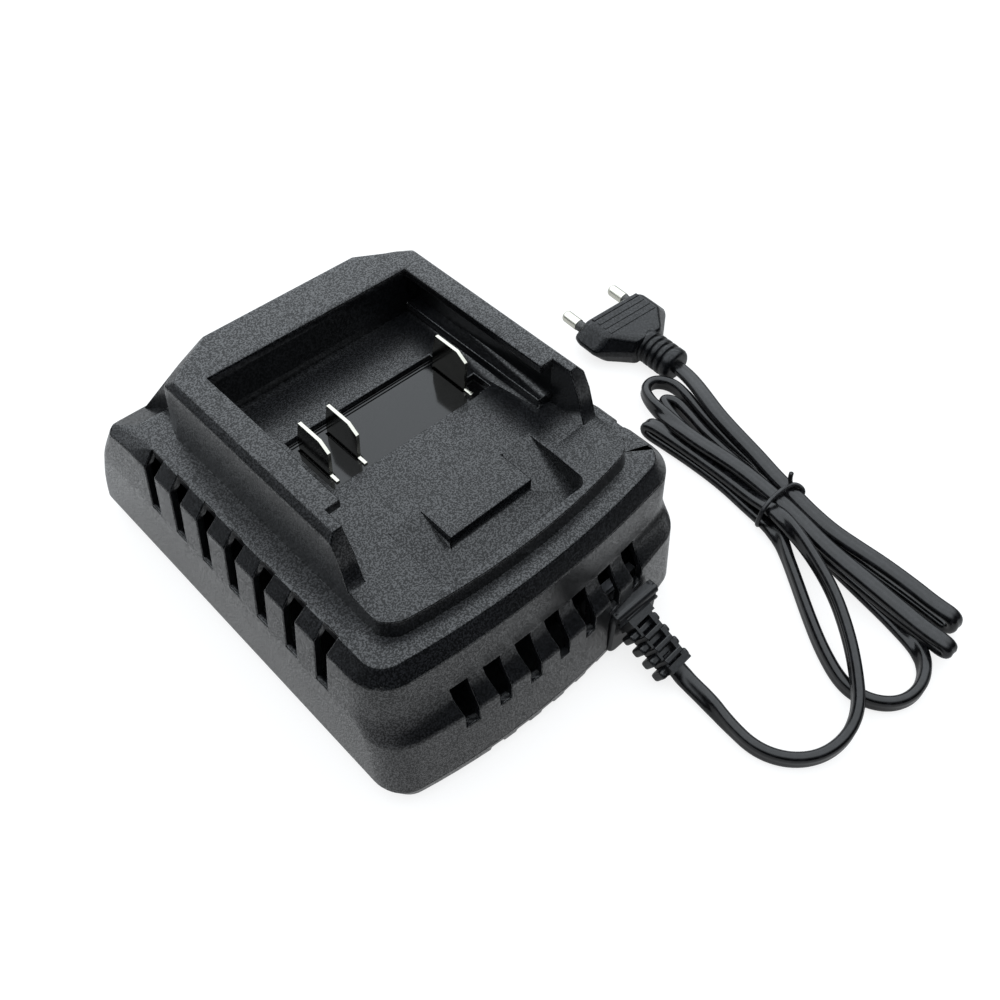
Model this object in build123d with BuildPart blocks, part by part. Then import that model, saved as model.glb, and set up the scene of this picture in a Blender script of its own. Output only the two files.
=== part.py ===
from build123d import *
import math
import os

os.makedirs("parts", exist_ok=True)

# ---------------------------------------------------------------------------
# Power tool battery charger, slide-in pack, free-standing, with a mains lead.
# Millimetres, +Z up.  The origin is the middle of the footprint, on the table.
# The pack slides in along +Y.  The lead leaves the front, which faces -Y.
# ---------------------------------------------------------------------------

# Driving dimensions: heights
FOOT_PROUD = 0.8         # rubber feet stand this far below the base
PARTING = 6.1            # where the base cover meets the top housing
SKIRT_TOP = 27.7         # top of the lower skirt, foot of the front bevel
BAND_BOTTOM = 33.4       # top of the front bevel
BAND_TOP = 48.5          # foot of the shoulder bevel
SHOULDER = 52.9          # flat shoulder round the raised platform
FLOOR = 58.8             # floor of the battery bay
RIB_TOP = 61.6           # top of the low rib under each rail groove
LIP_UNDERSIDE = 71.3     # underside of the two lips that hold the pack
TOP = 74.2               # flat top of the rails and the rear block

# Driving dimensions: plan
HALF_WIDTH = 55.3        # half the width at the parting line
SHOULDER_HALF = 49.7     # half the width of the shoulder
PLATFORM_BOW = 4.2       # how far the platform's front bows out
PLATFORM_CORNER = 5.2    # rounding of the platform's front corners
FRONT = -75.8            # most forward point of the housing
BAY_HALF = 37.4          # half the width between the two side walls
LIP_HALF = 33.0          # half the width between the two lips
BAY_BACK = 25.5          # back wall of the bay
LIP_FRONT = -29.0        # where the lips and the low ribs end
WALL_FRONT = -36.0       # front end of the side walls at the top
WALL_MIDDLE = -39.0      # front end of the side walls halfway down
WALL_FOOT = -41.8        # front end of the side walls at the bay floor
APRON_ANGLE = 3.0        # degrees that the floor falls in front of the walls
WALL = 2.4               # moulded wall thickness

# Driving dimensions: rear
REAR_SLOPE_Y = 44.0      # the rear slope starts here at shoulder height
REAR_CORNER = 5.5        # rounding of the two rear corners, up to the skirt's top
CREST_CORNER = 3.6       # and where the back meets the rear slope
BACK_FOOT = 75.0         # most rearward point, on the table
BACK_MIDDLE = 21.3       # at this height the back has come forward by the curve
BACK_CURVE = 5.9
BACK_POWER = 1.58


def export_piece(piece, name):
    """Names a finished piece and writes its file."""
    piece.part.label = name
    export_step(piece.part, f"parts/{name}.step")


def plan_outline(level, half_width, front, bow, corner, rear, rear_corner):
    """Plan of the housing at one height: a bowed front and four rounded corners."""
    with BuildSketch(Plane.XY.offset(level)) as outline:
        with BuildLine():
            Polyline(
                (-half_width, front + bow),
                (-half_width, rear),
                (half_width, rear),
                (half_width, front + bow),
            )
            ThreePointArc((half_width, front + bow), (0, front), (-half_width, front + bow))
        make_face()
        by_depth = outline.vertices().sort_by(Axis.Y)
        fillet(by_depth[:2], corner)
        fillet(outline.vertices().sort_by(Axis.Y)[-2:], rear_corner)
    return outline.sketch


def back_at(level):
    """How far back the curved rear wall stands at this height."""
    return BACK_FOOT - BACK_CURVE * (level / BACK_MIDDLE) ** BACK_POWER


def rear_corner_at(level):
    """Rounding of the rear corners, tighter towards the top."""
    part_way = min(max((level - SKIRT_TOP) / (BAND_TOP - SKIRT_TOP), 0.0), 1.0)
    return REAR_CORNER + (CREST_CORNER - REAR_CORNER) * part_way


def eased(tiers, easings, steps=4):
    """The same tiers with each crease turned into a small curve of that height."""
    smooth = [tiers[0]]
    for before, crease, after, easing in zip(tiers, tiers[1:], tiers[2:], easings):
        lead_in = easing / (crease[0] - before[0])
        lead_out = easing / (after[0] - crease[0])
        for step in range(steps + 1):
            t = step / steps
            smooth.append(
                tuple(
                    c + (1 - t) ** 2 * lead_in * (b - c) + t**2 * lead_out * (a - c)
                    for b, c, a in zip(before, crease, after)
                )
            )
    smooth.append(tiers[-1])
    return smooth


def stacked(tiers, inset=0.0):
    """Outlines for a loft, with steps close enough for the back to look curved."""
    widest_step = 5.0
    outlines = []
    for lower, upper in zip(tiers, tiers[1:] + tiers[-1:]):
        count = max(1, math.ceil((upper[0] - lower[0]) / widest_step))
        for n in range(count):
            level, *shape = [low + (high - low) * n / count for low, high in zip(lower, upper)]
            back = back_at(min(max(level, 0.0), BAND_TOP)) - inset
            rear_corner = rear_corner_at(level) - inset
            outlines.append(plan_outline(level, *shape, back, rear_corner))
    return outlines


def upper_outline(level, half_width, front, side_rear, notch, flare, flat):
    """Plan of the platform and the rear block at one height.

    Behind each side wall the plan steps in to the notch and out again to the flare.
    """
    with BuildSketch(Plane.XY.offset(level)) as outline:
        with BuildLine():
            Polyline(
                (-half_width, front + PLATFORM_BOW),
                (-half_width, side_rear),
                (-notch[0], notch[1]),
                (-flare[0], flare[1]),
                (-flat[0], flat[1]),
                flat,
                flare,
                notch,
                (half_width, side_rear),
                (half_width, front + PLATFORM_BOW),
            )
            ThreePointArc(
                (half_width, front + PLATFORM_BOW), (0, front), (-half_width, front + PLATFORM_BOW)
            )
        make_face()
        fillet(outline.vertices().sort_by(Axis.Y)[:2], PLATFORM_CORNER)
    return outline.sketch


# Top housing, hollow inside -------------------------------------------------
# The space inside follows the outside at one wall thickness.  Four screw
# posts, the latch pocket and the frame of the contact block stay solid.
BOSS_X = 45.0
BOSS_FRONT_Y = -48.0
BOSS_REAR_Y = 52.0
BOSS_RADIUS = 4.0
BOSS_PLACES = [(side * BOSS_X, y) for side in (-1, 1) for y in (BOSS_FRONT_Y, BOSS_REAR_Y)]
CEILING = SHOULDER - WALL
FLOOR_UNDERSIDE = FLOOR - WALL

POCKET_HALF = 24.3
POCKET_BACK = -34.3
POCKET_FRONT = -55.6
POCKET_CORNER = 3.0
POCKET_FLOOR = 50.2
TONGUE_HALF = 14.0
TONGUE_FRONT = -45.8

REAR_SLOPE_FALL = 4.4    # the slope falls this much to the crest
CREST_Y = back_at(BAND_TOP)


def above_the_slope(drop):
    """Everything above the flat slope behind the shoulder, or above its inside."""
    with BuildPart() as space:
        with BuildSketch(Plane.YZ):
            Polygon(
                (REAR_SLOPE_Y - drop, SHOULDER - drop),
                (CREST_Y + 9.3, SHOULDER - drop - 2 * REAR_SLOPE_FALL),
                (CREST_Y + 9.3, SHOULDER + 9.0),
                (REAR_SLOPE_Y - drop, SHOULDER + 9.0),
                align=None,
            )
        extrude(amount=70, both=True)
    return space.part


with BuildPart() as hollow:
    inner_tiers = [
        (PARTING - 1.1, HALF_WIDTH - WALL, FRONT + WALL, 6.6, 8.6),
        (SKIRT_TOP - 1.0, 52.7, -71.9, 6.6, 9.6),
        (BAND_BOTTOM - 1.0, 52.6, -66.1, 5.0, 9.1),
        (BAND_TOP - 0.9, 51.2, -65.6, 4.5, 8.6),
        (CEILING, 48.6, -63.5, 4.5, 5.4),
    ]
    loft(stacked(inner_tiers, inset=2.7), ruled=True)
    with BuildSketch(Plane.XY.offset(CEILING - 1.0)) as under_floor:
        with Locations((0, -54.0)):
            Rectangle(80.0, 92.0, align=(Align.CENTER, Align.MIN))
    extrude(amount=FLOOR_UNDERSIDE - CEILING + 1.0)
    add(above_the_slope(WALL), mode=Mode.SUBTRACT)
    with BuildSketch(Plane.YZ):
        Polygon((28.0, CEILING - 2.0), (28.0, 71.6), (37.4, 71.6), (47.8, CEILING - 2.0), align=None)
    extrude(amount=27.0, both=True)
    with BuildSketch(Plane.YZ):
        Polygon((-32.0, 57.0), (-32.0, 55.8), (-56.5, 47.8), (-60.0, 47.8), (-60.0, 57.0), align=None)
    extrude(amount=POCKET_HALF + WALL, both=True, mode=Mode.SUBTRACT)
    with BuildSketch(Plane.XY.offset(PARTING)):
        with Locations(*BOSS_PLACES):
            Circle(BOSS_RADIUS)
    extrude(amount=60.0, mode=Mode.SUBTRACT)

# The latch pocket is a ramp that gets deeper to the front, round a tongue.
with BuildPart() as latch_pocket:
    with BuildSketch(Plane.XY.offset(POCKET_FLOOR - 4.0)) as pocket_plan:
        pocket_length = POCKET_BACK - POCKET_FRONT
        with Locations((0, (POCKET_BACK + POCKET_FRONT) / 2)):
            Rectangle(2 * POCKET_HALF, pocket_length)
        fillet(pocket_plan.vertices().sort_by(Axis.Y)[:2], POCKET_CORNER)
        with Locations((0, TONGUE_FRONT)):
            Rectangle(2 * TONGUE_HALF, 40.0, align=(Align.CENTER, Align.MIN), mode=Mode.SUBTRACT)
    extrude(amount=20.0)
    with BuildSketch(Plane.YZ):
        Polygon(
            (POCKET_BACK, FLOOR),
            (POCKET_FRONT, POCKET_FLOOR),
            (POCKET_FRONT - 5.0, POCKET_FLOOR),
            (POCKET_FRONT - 5.0, FLOOR + 3.0),
            (POCKET_BACK, FLOOR + 3.0),
            align=None,
        )
    extrude(amount=POCKET_HALF + 5.0, both=True, mode=Mode.INTERSECT)

BLOCK_HALF = 25.0
BLOCK_BACK = 6.5
BLOCK_FRONT = -14.0
BLOCK_TOP = FLOOR - 1.5
BLOCK_CLEARANCE = 0.2
NOTCH_HALF_DEPTH = 3.0
NOTCH_END = 29.0
NOTCH_Y = -10.5

SIDE_SLOT_PITCH = 12.4
SIDE_SLOT_MOUTH = 4.2    # slots are this wide at the skirt and widen inwards
SIDE_SLOT_INNER = 5.4
SIDE_SLOT_BOTTOM = 33.4
SIDE_SLOT_FIRST = 31.1
FRONT_SLOT_PITCH = 10.3
FRONT_SLOT_MOUTH = 3.5
FRONT_SLOT_INNER = 5.2
FRONT_SLOT_BOTTOM = 22.5
FRONT_SLOT_TOP = 35.2
SLOT_COUNT = 7

GLAND_X = 28.0
GLAND_Z = 13.2
GLAND_SEAT_Y = -72.9
GLAND_HALF_WIDTH = 9.3
GLAND_BOTTOM = 2.6
GLAND_TOP = 21.2
GLAND_CORNER = 3.0
GLAND_HOLE_RADIUS = 5.4

INDICATORS = (("charging", 16.0), ("ready", 24.0))
LAMP_Z = 18.6
WINDOW_RADIUS = 2.2

# What the shoulder bevel takes off, over its full height and a little more
BEVEL_RUN = SHOULDER_HALF - 53.6
BEVEL_RISE = SHOULDER - BAND_TOP
with BuildPart() as round_the_shoulder:
    with BuildSketch(Plane.XY.offset(BAND_TOP - 1.0)):
        with Locations((0, REAR_SLOPE_Y)):
            Rectangle(140.0, 140.0, align=(Align.CENTER, Align.MAX))
    extrude(amount=BEVEL_RISE + 3.0)
    bevel_ends = []
    for level in (BAND_TOP - 2.0, SHOULDER + 4.0):
        part_way = (level - BAND_TOP) / BEVEL_RISE
        bevel_ends.append(
            plan_outline(
                level,
                53.6 + BEVEL_RUN * part_way,
                -68.0 + 3.3 * part_way,
                4.5,
                11.0 - 4.6 * part_way,
                REAR_SLOPE_Y + 20.0,
                5.0,
            )
        )
    loft(bevel_ends, ruled=True, mode=Mode.SUBTRACT)

# Raised platform, side walls and rear block, with the battery bay cut into them
with BuildPart() as upper_block:
    # In front of the walls the bay floor falls away three degrees
    loft(
        [
            upper_outline(
                SHOULDER - 5.0, 43.0, -60.0, 34.0, (38.4, 44.8), (41.8, 53.3), (25.0, 53.3)
            ),
            upper_outline(
                TOP - 2.2, 42.0, -57.9, 32.6, (38.0, 35.4), (36.4, 36.2), (25.6, 41.2)
            ),
            upper_outline(
                TOP, 40.0, -57.9, 30.0, (36.5, 32.5), (35.1, 33.4), (25.0, 39.5)
            ),
        ],
        ruled=True,
    )
    apron_length = 30.0
    apron_drop = math.tan(math.radians(APRON_ANGLE)) * apron_length
    with BuildSketch(Plane.YZ):
        Polygon(
            (WALL_FOOT, FLOOR),
            (WALL_MIDDLE, LIP_UNDERSIDE - 4.2),
            (WALL_FRONT, TOP - 1.7),
            (WALL_FRONT + 1.3, TOP + 1.0),
            (WALL_FOOT - apron_length, TOP + 1.0),
            (WALL_FOOT - apron_length, FLOOR - apron_drop),
            align=None,
        )
    extrude(amount=50.0, both=True, mode=Mode.SUBTRACT)
    # Battery bay: clear to the back wall, with a groove under each lip
    with BuildSketch(Plane.XY.offset(FLOOR)):
        with Locations((0, BAY_BACK)):
            Rectangle(2 * LIP_HALF, 110.0, align=(Align.CENTER, Align.MAX))
        with Locations((0, LIP_FRONT)):
            Rectangle(2 * BAY_HALF, 60.0, align=(Align.CENTER, Align.MAX))
    extrude(amount=30.0, mode=Mode.SUBTRACT)
    with BuildSketch(Plane.XY.offset(RIB_TOP)):
        with Locations((0, BAY_BACK)):
            Rectangle(2 * BAY_HALF, 110.0, align=(Align.CENTER, Align.MAX))
    extrude(amount=LIP_UNDERSIDE - RIB_TOP, mode=Mode.SUBTRACT)

with BuildPart() as top_housing:
    # Skirt, front bevel and band, as high as the shoulder
    tiers = [
        (PARTING, HALF_WIDTH, FRONT, 6.8, 9.8),
        (SKIRT_TOP, 55.15, -74.3, 6.8, 12.0),
        (BAND_BOTTOM, 55.05, -68.5, 5.0, 11.5),
        (SHOULDER, 53.17, -67.85, 4.5, 10.9),
    ]
    loft(stacked(eased(tiers, (0.7, 3.0))), ruled=True)
    # Shoulder bevel, round the sides and the front as far back as the slope
    add(round_the_shoulder.part, mode=Mode.SUBTRACT)
    add(above_the_slope(0.0), mode=Mode.SUBTRACT)
    # Facets that take the two rear corners off, fading out along the bevel
    for side in (-1, 1):
        facet = Plane(
            origin=(side * 53.4, REAR_SLOPE_Y, BAND_TOP),
            x_dir=(0, 1, 0),
            z_dir=(side * 0.60, 0.12, 0.79),
        )
        with BuildSketch(facet):
            Rectangle(100.0, 30.0)
        extrude(amount=20.0, mode=Mode.SUBTRACT)
    add(upper_block.part)
    add(hollow.part, mode=Mode.SUBTRACT)
    add(latch_pocket.part, mode=Mode.SUBTRACT)
    # Opening for the contact block
    with BuildSketch(Plane.XY.offset(FLOOR_UNDERSIDE - 1.0)):
        with Locations((0, (BLOCK_BACK + BLOCK_FRONT) / 2)):
            Rectangle(
                2 * (BLOCK_HALF + BLOCK_CLEARANCE),
                BLOCK_BACK - BLOCK_FRONT + 2 * BLOCK_CLEARANCE,
            )
        with Locations((BLOCK_HALF, NOTCH_Y)):
            Rectangle(
                NOTCH_END - BLOCK_HALF + BLOCK_CLEARANCE,
                2 * (NOTCH_HALF_DEPTH + BLOCK_CLEARANCE),
                align=(Align.MIN, Align.CENTER),
            )
    extrude(amount=10.0, mode=Mode.SUBTRACT)
    # Cooling slots: seven down each side and seven across the front
    side_slots = [SIDE_SLOT_FIRST - SIDE_SLOT_PITCH * n for n in range(SLOT_COUNT)]
    with BuildSketch(Plane.XY.offset(SIDE_SLOT_BOTTOM)):
        for side in (-1, 1):
            with Locations(*[(side * SHOULDER_HALF, y) for y in side_slots]):
                Polygon(
                    (0, SIDE_SLOT_INNER / 2),
                    (side * 5.5, SIDE_SLOT_MOUTH / 2),
                    (side * 20.0, SIDE_SLOT_MOUTH / 2),
                    (side * 20.0, -SIDE_SLOT_MOUTH / 2),
                    (side * 5.5, -SIDE_SLOT_MOUTH / 2),
                    (0, -SIDE_SLOT_INNER / 2),
                    align=None,
                )
    extrude(amount=30.0, mode=Mode.SUBTRACT)
    front_slots = [FRONT_SLOT_PITCH * (n - SLOT_COUNT // 2) for n in range(SLOT_COUNT)]
    with BuildSketch(Plane.XY.offset(FRONT_SLOT_BOTTOM)):
        with Locations(*[(x, -64.0) for x in front_slots]):
            Polygon(
                (FRONT_SLOT_INNER / 2, 0),
                (FRONT_SLOT_INNER / 2, -4.0),
                (FRONT_SLOT_MOUTH / 2, -10.5),
                (FRONT_SLOT_MOUTH / 2, -18.0),
                (-FRONT_SLOT_MOUTH / 2, -18.0),
                (-FRONT_SLOT_MOUTH / 2, -10.5),
                (-FRONT_SLOT_INNER / 2, -4.0),
                (-FRONT_SLOT_INNER / 2, 0),
                align=None,
            )
    extrude(amount=FRONT_SLOT_TOP - FRONT_SLOT_BOTTOM, mode=Mode.SUBTRACT)
    # Flat seat and hole for the cord gland
    with BuildSketch(Plane.XZ.offset(-GLAND_SEAT_Y)) as seat:
        with Locations((GLAND_X, (GLAND_TOP + GLAND_BOTTOM) / 2)):
            RectangleRounded(
                2 * GLAND_HALF_WIDTH + 0.4, GLAND_TOP - GLAND_BOTTOM + 0.4, GLAND_CORNER
            )
    extrude(amount=12.0, mode=Mode.SUBTRACT)
    with BuildSketch(Plane.XZ.offset(66.0)):
        with Locations((GLAND_X, GLAND_Z)):
            Circle(GLAND_HOLE_RADIUS)
    extrude(amount=12.0, mode=Mode.SUBTRACT)
    # Holes for the two indicator windows, in the back
    with BuildSketch(Plane.XZ.offset(-62.0)):
        with Locations(*[(lamp_x, LAMP_Z) for name, lamp_x in INDICATORS]):
            Circle(WINDOW_RADIUS)
    extrude(amount=-16.0, mode=Mode.SUBTRACT)
    # Pilot holes for the four housing screws
    with BuildSketch(Plane.XY.offset(PARTING - 0.1)):
        with Locations(*BOSS_PLACES):
            Circle(1.5)
    extrude(amount=12.1, mode=Mode.SUBTRACT)

export_piece(top_housing, "top_housing")

# Base cover: a shallow tray with posts for the board and the screws ---------
BASE_FLOOR = FOOT_PROUD + WALL
REVEAL = 0.4             # height of the fine groove round the parting line
BOARD_BOTTOM = 12.0
BOARD_TOP = 13.6
BOARD_HALF_WIDTH = 38.0
BOARD_FRONT = -52.0
BOARD_REAR = 56.0
BOARD_SCREW_PLACES = [(x, y) for x in (-33.0, 33.0) for y in (-47.0, 51.0)]
FOOT_PLACES = [(x, y) for x in (-38.0, 38.0) for y in (-58.0, 60.0)]
FOOT_RADIUS = 5.0
VENT_PITCH = 9.0
VENT_COUNT = 6
SCREW_HEAD_RADIUS = 2.8
SCREW_RADIUS = 1.5
SCREW_SEAT = 3.0

with BuildPart() as base_cover:
    loft(
        [
            plan_outline(FOOT_PROUD, 51.8, -74.8, 6.6, 6.6, rear=72.2, rear_corner=3.8),
            plan_outline(PARTING - REVEAL, 55.0, -75.6, 6.8, 9.5, rear=73.9, rear_corner=5.2),
        ],
        ruled=True,
    )
    loft(
        [
            plan_outline(PARTING - REVEAL, 54.3, -74.9, 6.6, 8.8, rear=73.2, rear_corner=4.5),
            plan_outline(PARTING, 54.3, -74.9, 6.6, 8.8, rear=73.2, rear_corner=4.5),
        ],
        ruled=True,
    )
    loft(
        [
            plan_outline(BASE_FLOOR, 49.6, -72.6, 6.6, 5.0, rear=70.0, rear_corner=2.6),
            plan_outline(PARTING, 52.6, -73.2, 6.6, 7.0, rear=71.5, rear_corner=3.0),
        ],
        ruled=True,
        mode=Mode.SUBTRACT,
    )
    with BuildSketch(Plane.XY.offset(FOOT_PROUD + 1.0)):
        with Locations(*BOSS_PLACES):
            Circle(BOSS_RADIUS)
    extrude(amount=PARTING - FOOT_PROUD - 1.0)
    with BuildSketch(Plane.XY.offset(FOOT_PROUD + 1.0)):
        with Locations(*BOARD_SCREW_PLACES):
            Circle(3.2)
    extrude(amount=BOARD_BOTTOM - FOOT_PROUD - 1.0)
    # Counterbored holes for the housing screws, from below
    with BuildSketch(Plane.XY.offset(FOOT_PROUD)):
        with Locations(*BOSS_PLACES):
            Circle(SCREW_HEAD_RADIUS)
    extrude(amount=SCREW_SEAT - FOOT_PROUD, mode=Mode.SUBTRACT)
    with BuildSketch(Plane.XY.offset(FOOT_PROUD)):
        with Locations(*BOSS_PLACES):
            Circle(SCREW_RADIUS)
    extrude(amount=10.0, mode=Mode.SUBTRACT)
    with BuildSketch(Plane.XY.offset(BASE_FLOOR)):
        with Locations(*BOARD_SCREW_PLACES):
            Circle(SCREW_RADIUS)
    extrude(amount=10.0, mode=Mode.SUBTRACT)
    # Shallow seats for the rubber feet
    with BuildSketch(Plane.XY.offset(FOOT_PROUD)):
        with Locations(*FOOT_PLACES):
            Circle(FOOT_RADIUS)
    extrude(amount=1.0, mode=Mode.SUBTRACT)
    # Air notches along the lower front edge
    notch_centres = [-32.0 + VENT_PITCH * n for n in range(VENT_COUNT)]
    with BuildSketch(Plane.XY.offset(FOOT_PROUD)):
        with Locations(*[(x, -78.0) for x in notch_centres]):
            Rectangle(VENT_PITCH / 2, 5.2, align=(Align.CENTER, Align.MIN))
    extrude(amount=1.8, mode=Mode.SUBTRACT)
    # Flat seat for the foot of the cord gland
    with BuildSketch(Plane.XZ.offset(-GLAND_SEAT_Y)):
        with Locations((GLAND_X, (GLAND_TOP + GLAND_BOTTOM) / 2)):
            RectangleRounded(
                2 * GLAND_HALF_WIDTH + 0.4, GLAND_TOP - GLAND_BOTTOM + 0.4, GLAND_CORNER
            )
    extrude(amount=12.0, mode=Mode.SUBTRACT)
export_piece(base_cover, "base_cover")

# Rubber feet, pressed into the base -----------------------------------------
for number, place in enumerate(FOOT_PLACES, start=1):
    with BuildPart() as rubber_foot:
        with BuildSketch(Plane.XY):
            with Locations(place):
                Circle(FOOT_RADIUS)
        extrude(amount=FOOT_PROUD + 1.0)
        chamfer(rubber_foot.edges().group_by(Axis.Z)[0], 0.4)
    export_piece(rubber_foot, f"rubber_foot_{number}")

# Housing screws, from below through the base into the posts -----------------
for number, place in enumerate(BOSS_PLACES, start=1):
    with BuildPart() as housing_screw:
        with BuildSketch(Plane.XY.offset(FOOT_PROUD + 0.4)):
            with Locations(place):
                Circle(SCREW_HEAD_RADIUS)
        extrude(amount=SCREW_SEAT - FOOT_PROUD - 0.4)
        with BuildSketch(Plane.XY.offset(SCREW_SEAT)):
            with Locations(place):
                Circle(SCREW_RADIUS)
        extrude(amount=14.0)
        with BuildSketch(Plane.XY.offset(FOOT_PROUD + 0.4)):
            with Locations(place):
                Rectangle(3.2, 0.8)
                Rectangle(0.8, 3.2)
        extrude(amount=1.0, mode=Mode.SUBTRACT)
    export_piece(housing_screw, f"housing_screw_{number}")

# Contact block, let into the bay floor --------------------------------------
BLADE_THICKNESS = 1.1
BLADE_BACK = 3.6
BLADE_FRONT = -9.6
BLADE_TAIL = 46.0
BLADES = (
    ("contact_positive", -22.5, 68.6),
    ("contact_sensor", -13.4, 68.7),
    ("contact_negative", 24.0, 70.0),
)
BLOCK_BOTTOM = 50.0

with BuildPart() as terminal_block:
    with BuildSketch(Plane.XY.offset(BLOCK_BOTTOM)):
        with Locations((0, BLOCK_FRONT)):
            Rectangle(2 * BLOCK_HALF, BLOCK_BACK - BLOCK_FRONT, align=(Align.CENTER, Align.MIN))
        with Locations((BLOCK_HALF, NOTCH_Y)):
            Rectangle(
                NOTCH_END - BLOCK_HALF, 2 * NOTCH_HALF_DEPTH, align=(Align.MIN, Align.CENTER)
            )
    extrude(amount=BLOCK_TOP - BLOCK_BOTTOM)
    with BuildSketch(Plane.XY.offset(FLOOR_UNDERSIDE - 3.0)):
        with Locations((0, (BLOCK_FRONT + BLOCK_BACK) / 2)):
            Rectangle(2 * BLOCK_HALF + 12.0, BLOCK_BACK - BLOCK_FRONT + 4.0)
    extrude(amount=3.0)
    # Each blade stands in a tight slit that widens at the top
    for name, blade_x, blade_top in BLADES:
        with BuildSketch(Plane.XY.offset(BLOCK_BOTTOM)):
            with Locations((blade_x, (BLADE_BACK + BLADE_FRONT) / 2)):
                Rectangle(BLADE_THICKNESS, BLADE_BACK - BLADE_FRONT)
        extrude(amount=20.0, mode=Mode.SUBTRACT)
        with BuildSketch(Plane.XY.offset(BLOCK_TOP - 1.0)):
            with Locations((blade_x, (BLADE_BACK + BLADE_FRONT) / 2)):
                Rectangle(BLADE_THICKNESS + 1.0, BLADE_BACK - BLADE_FRONT)
        extrude(amount=20.0, mode=Mode.SUBTRACT)
    # Two fine grooves along the back edge
    with BuildSketch(Plane.XY.offset(BLOCK_TOP - 0.5)):
        with Locations((0, BLOCK_BACK - 0.6), (0, BLOCK_BACK - 1.6)):
            Rectangle(2 * BLOCK_HALF, 0.4)
    extrude(amount=2.0, mode=Mode.SUBTRACT)
export_piece(terminal_block, "terminal_block")

# Contact blades: stamped, nickel plated, with a chamfered front corner ------
for name, blade_x, blade_top in BLADES:
    with BuildPart() as blade:
        with BuildSketch(Plane.YZ.offset(blade_x - BLADE_THICKNESS / 2)):
            Polygon(
                (BLADE_BACK, BLADE_TAIL),
                (BLADE_BACK, blade_top - 7.0),
                (BLADE_BACK - 1.6, blade_top),
                (-6.6, blade_top),
                (-10.0, blade_top - 2.2),
                (BLADE_FRONT, BLOCK_TOP + 2.0),
                (BLADE_FRONT, BLADE_TAIL),
                align=None,
            )
        extrude(amount=BLADE_THICKNESS)
        with BuildSketch(Plane.XY.offset(BLOCK_TOP)):
            with Locations((blade_x, BLADE_FRONT + 1.0)):
                Rectangle(BLADE_THICKNESS, 3.7, align=(Align.CENTER, Align.MAX))
        extrude(amount=0.6)
    export_piece(blade, name)

# Circuit board and what stands on it ----------------------------------------
with BuildPart() as circuit_board:
    with BuildSketch(Plane.XY.offset(BOARD_BOTTOM)):
        with Locations((0, BOARD_FRONT)):
            Rectangle(
                2 * BOARD_HALF_WIDTH, BOARD_REAR - BOARD_FRONT, align=(Align.CENTER, Align.MIN)
            )
        with Locations(*BOARD_SCREW_PLACES):
            Circle(SCREW_RADIUS, mode=Mode.SUBTRACT)
        # Milled slot between the mains side and the low-voltage side
        with Locations((14.0, 20.0)):
            SlotOverall(26.0, 2.0, mode=Mode.SUBTRACT)
    extrude(amount=BOARD_TOP - BOARD_BOTTOM)
export_piece(circuit_board, "circuit_board")

for number, place in enumerate(BOARD_SCREW_PLACES, start=1):
    with BuildPart() as board_screw:
        with BuildSketch(Plane.XY.offset(BOARD_TOP)):
            with Locations(place):
                Circle(2.7)
        extrude(amount=2.0)
        fillet(board_screw.edges().group_by(Axis.Z)[-1], 0.8)
        with BuildSketch(Plane.XY.offset(BOARD_TOP)):
            with Locations(place):
                Circle(SCREW_RADIUS)
        extrude(amount=-8.0)
    export_piece(board_screw, f"board_screw_{number}")

# Transformer: a ferrite core closed round a moulded bobbin with its windings
CORE_X = 4.0
CORE_Y = -8.0
CORE_LENGTH = 30.0
CORE_WIDTH = 14.0
CORE_HEIGHT = 26.0
with BuildPart() as transformer_winding:
    with BuildSketch(Plane.XY.offset(BOARD_TOP)):
        with Locations((CORE_X, CORE_Y)):
            Rectangle(20.0, 26.0)
    extrude(amount=3.0)
    with BuildSketch(Plane.XY.offset(BOARD_TOP + 3.0)):
        with Locations((CORE_X, CORE_Y)):
            RectangleRounded(19.0, 25.0, 6.0)
    extrude(amount=16.0)
    with BuildSketch(Plane.XY.offset(BOARD_TOP + 19.0)):
        with Locations((CORE_X, CORE_Y)):
            Rectangle(20.0, 26.0)
    extrude(amount=2.0)
    with BuildSketch(Plane.XY.offset(BOARD_TOP)):
        with Locations((CORE_X, CORE_Y)):
            Rectangle(10.0, 10.0)
    extrude(amount=30.0, mode=Mode.SUBTRACT)
with BuildPart() as transformer_core:
    with BuildSketch(Plane.XZ.offset(-CORE_Y - CORE_WIDTH / 2)):
        with Locations((CORE_X, BOARD_TOP + 0.5 + CORE_HEIGHT / 2)):
            Rectangle(CORE_LENGTH, CORE_HEIGHT)
            Rectangle(CORE_LENGTH - 8.0, CORE_HEIGHT - 5.0, mode=Mode.SUBTRACT)
    extrude(amount=CORE_WIDTH)
    add(transformer_winding.part, mode=Mode.SUBTRACT)
    with BuildSketch(Plane.XY.offset(BOARD_TOP + 0.5)):
        with Locations((CORE_X, CORE_Y)):
            Rectangle(10.0, 10.0)
    extrude(amount=CORE_HEIGHT)
export_piece(transformer_winding, "transformer_winding")
export_piece(transformer_core, "transformer_core")


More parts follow.
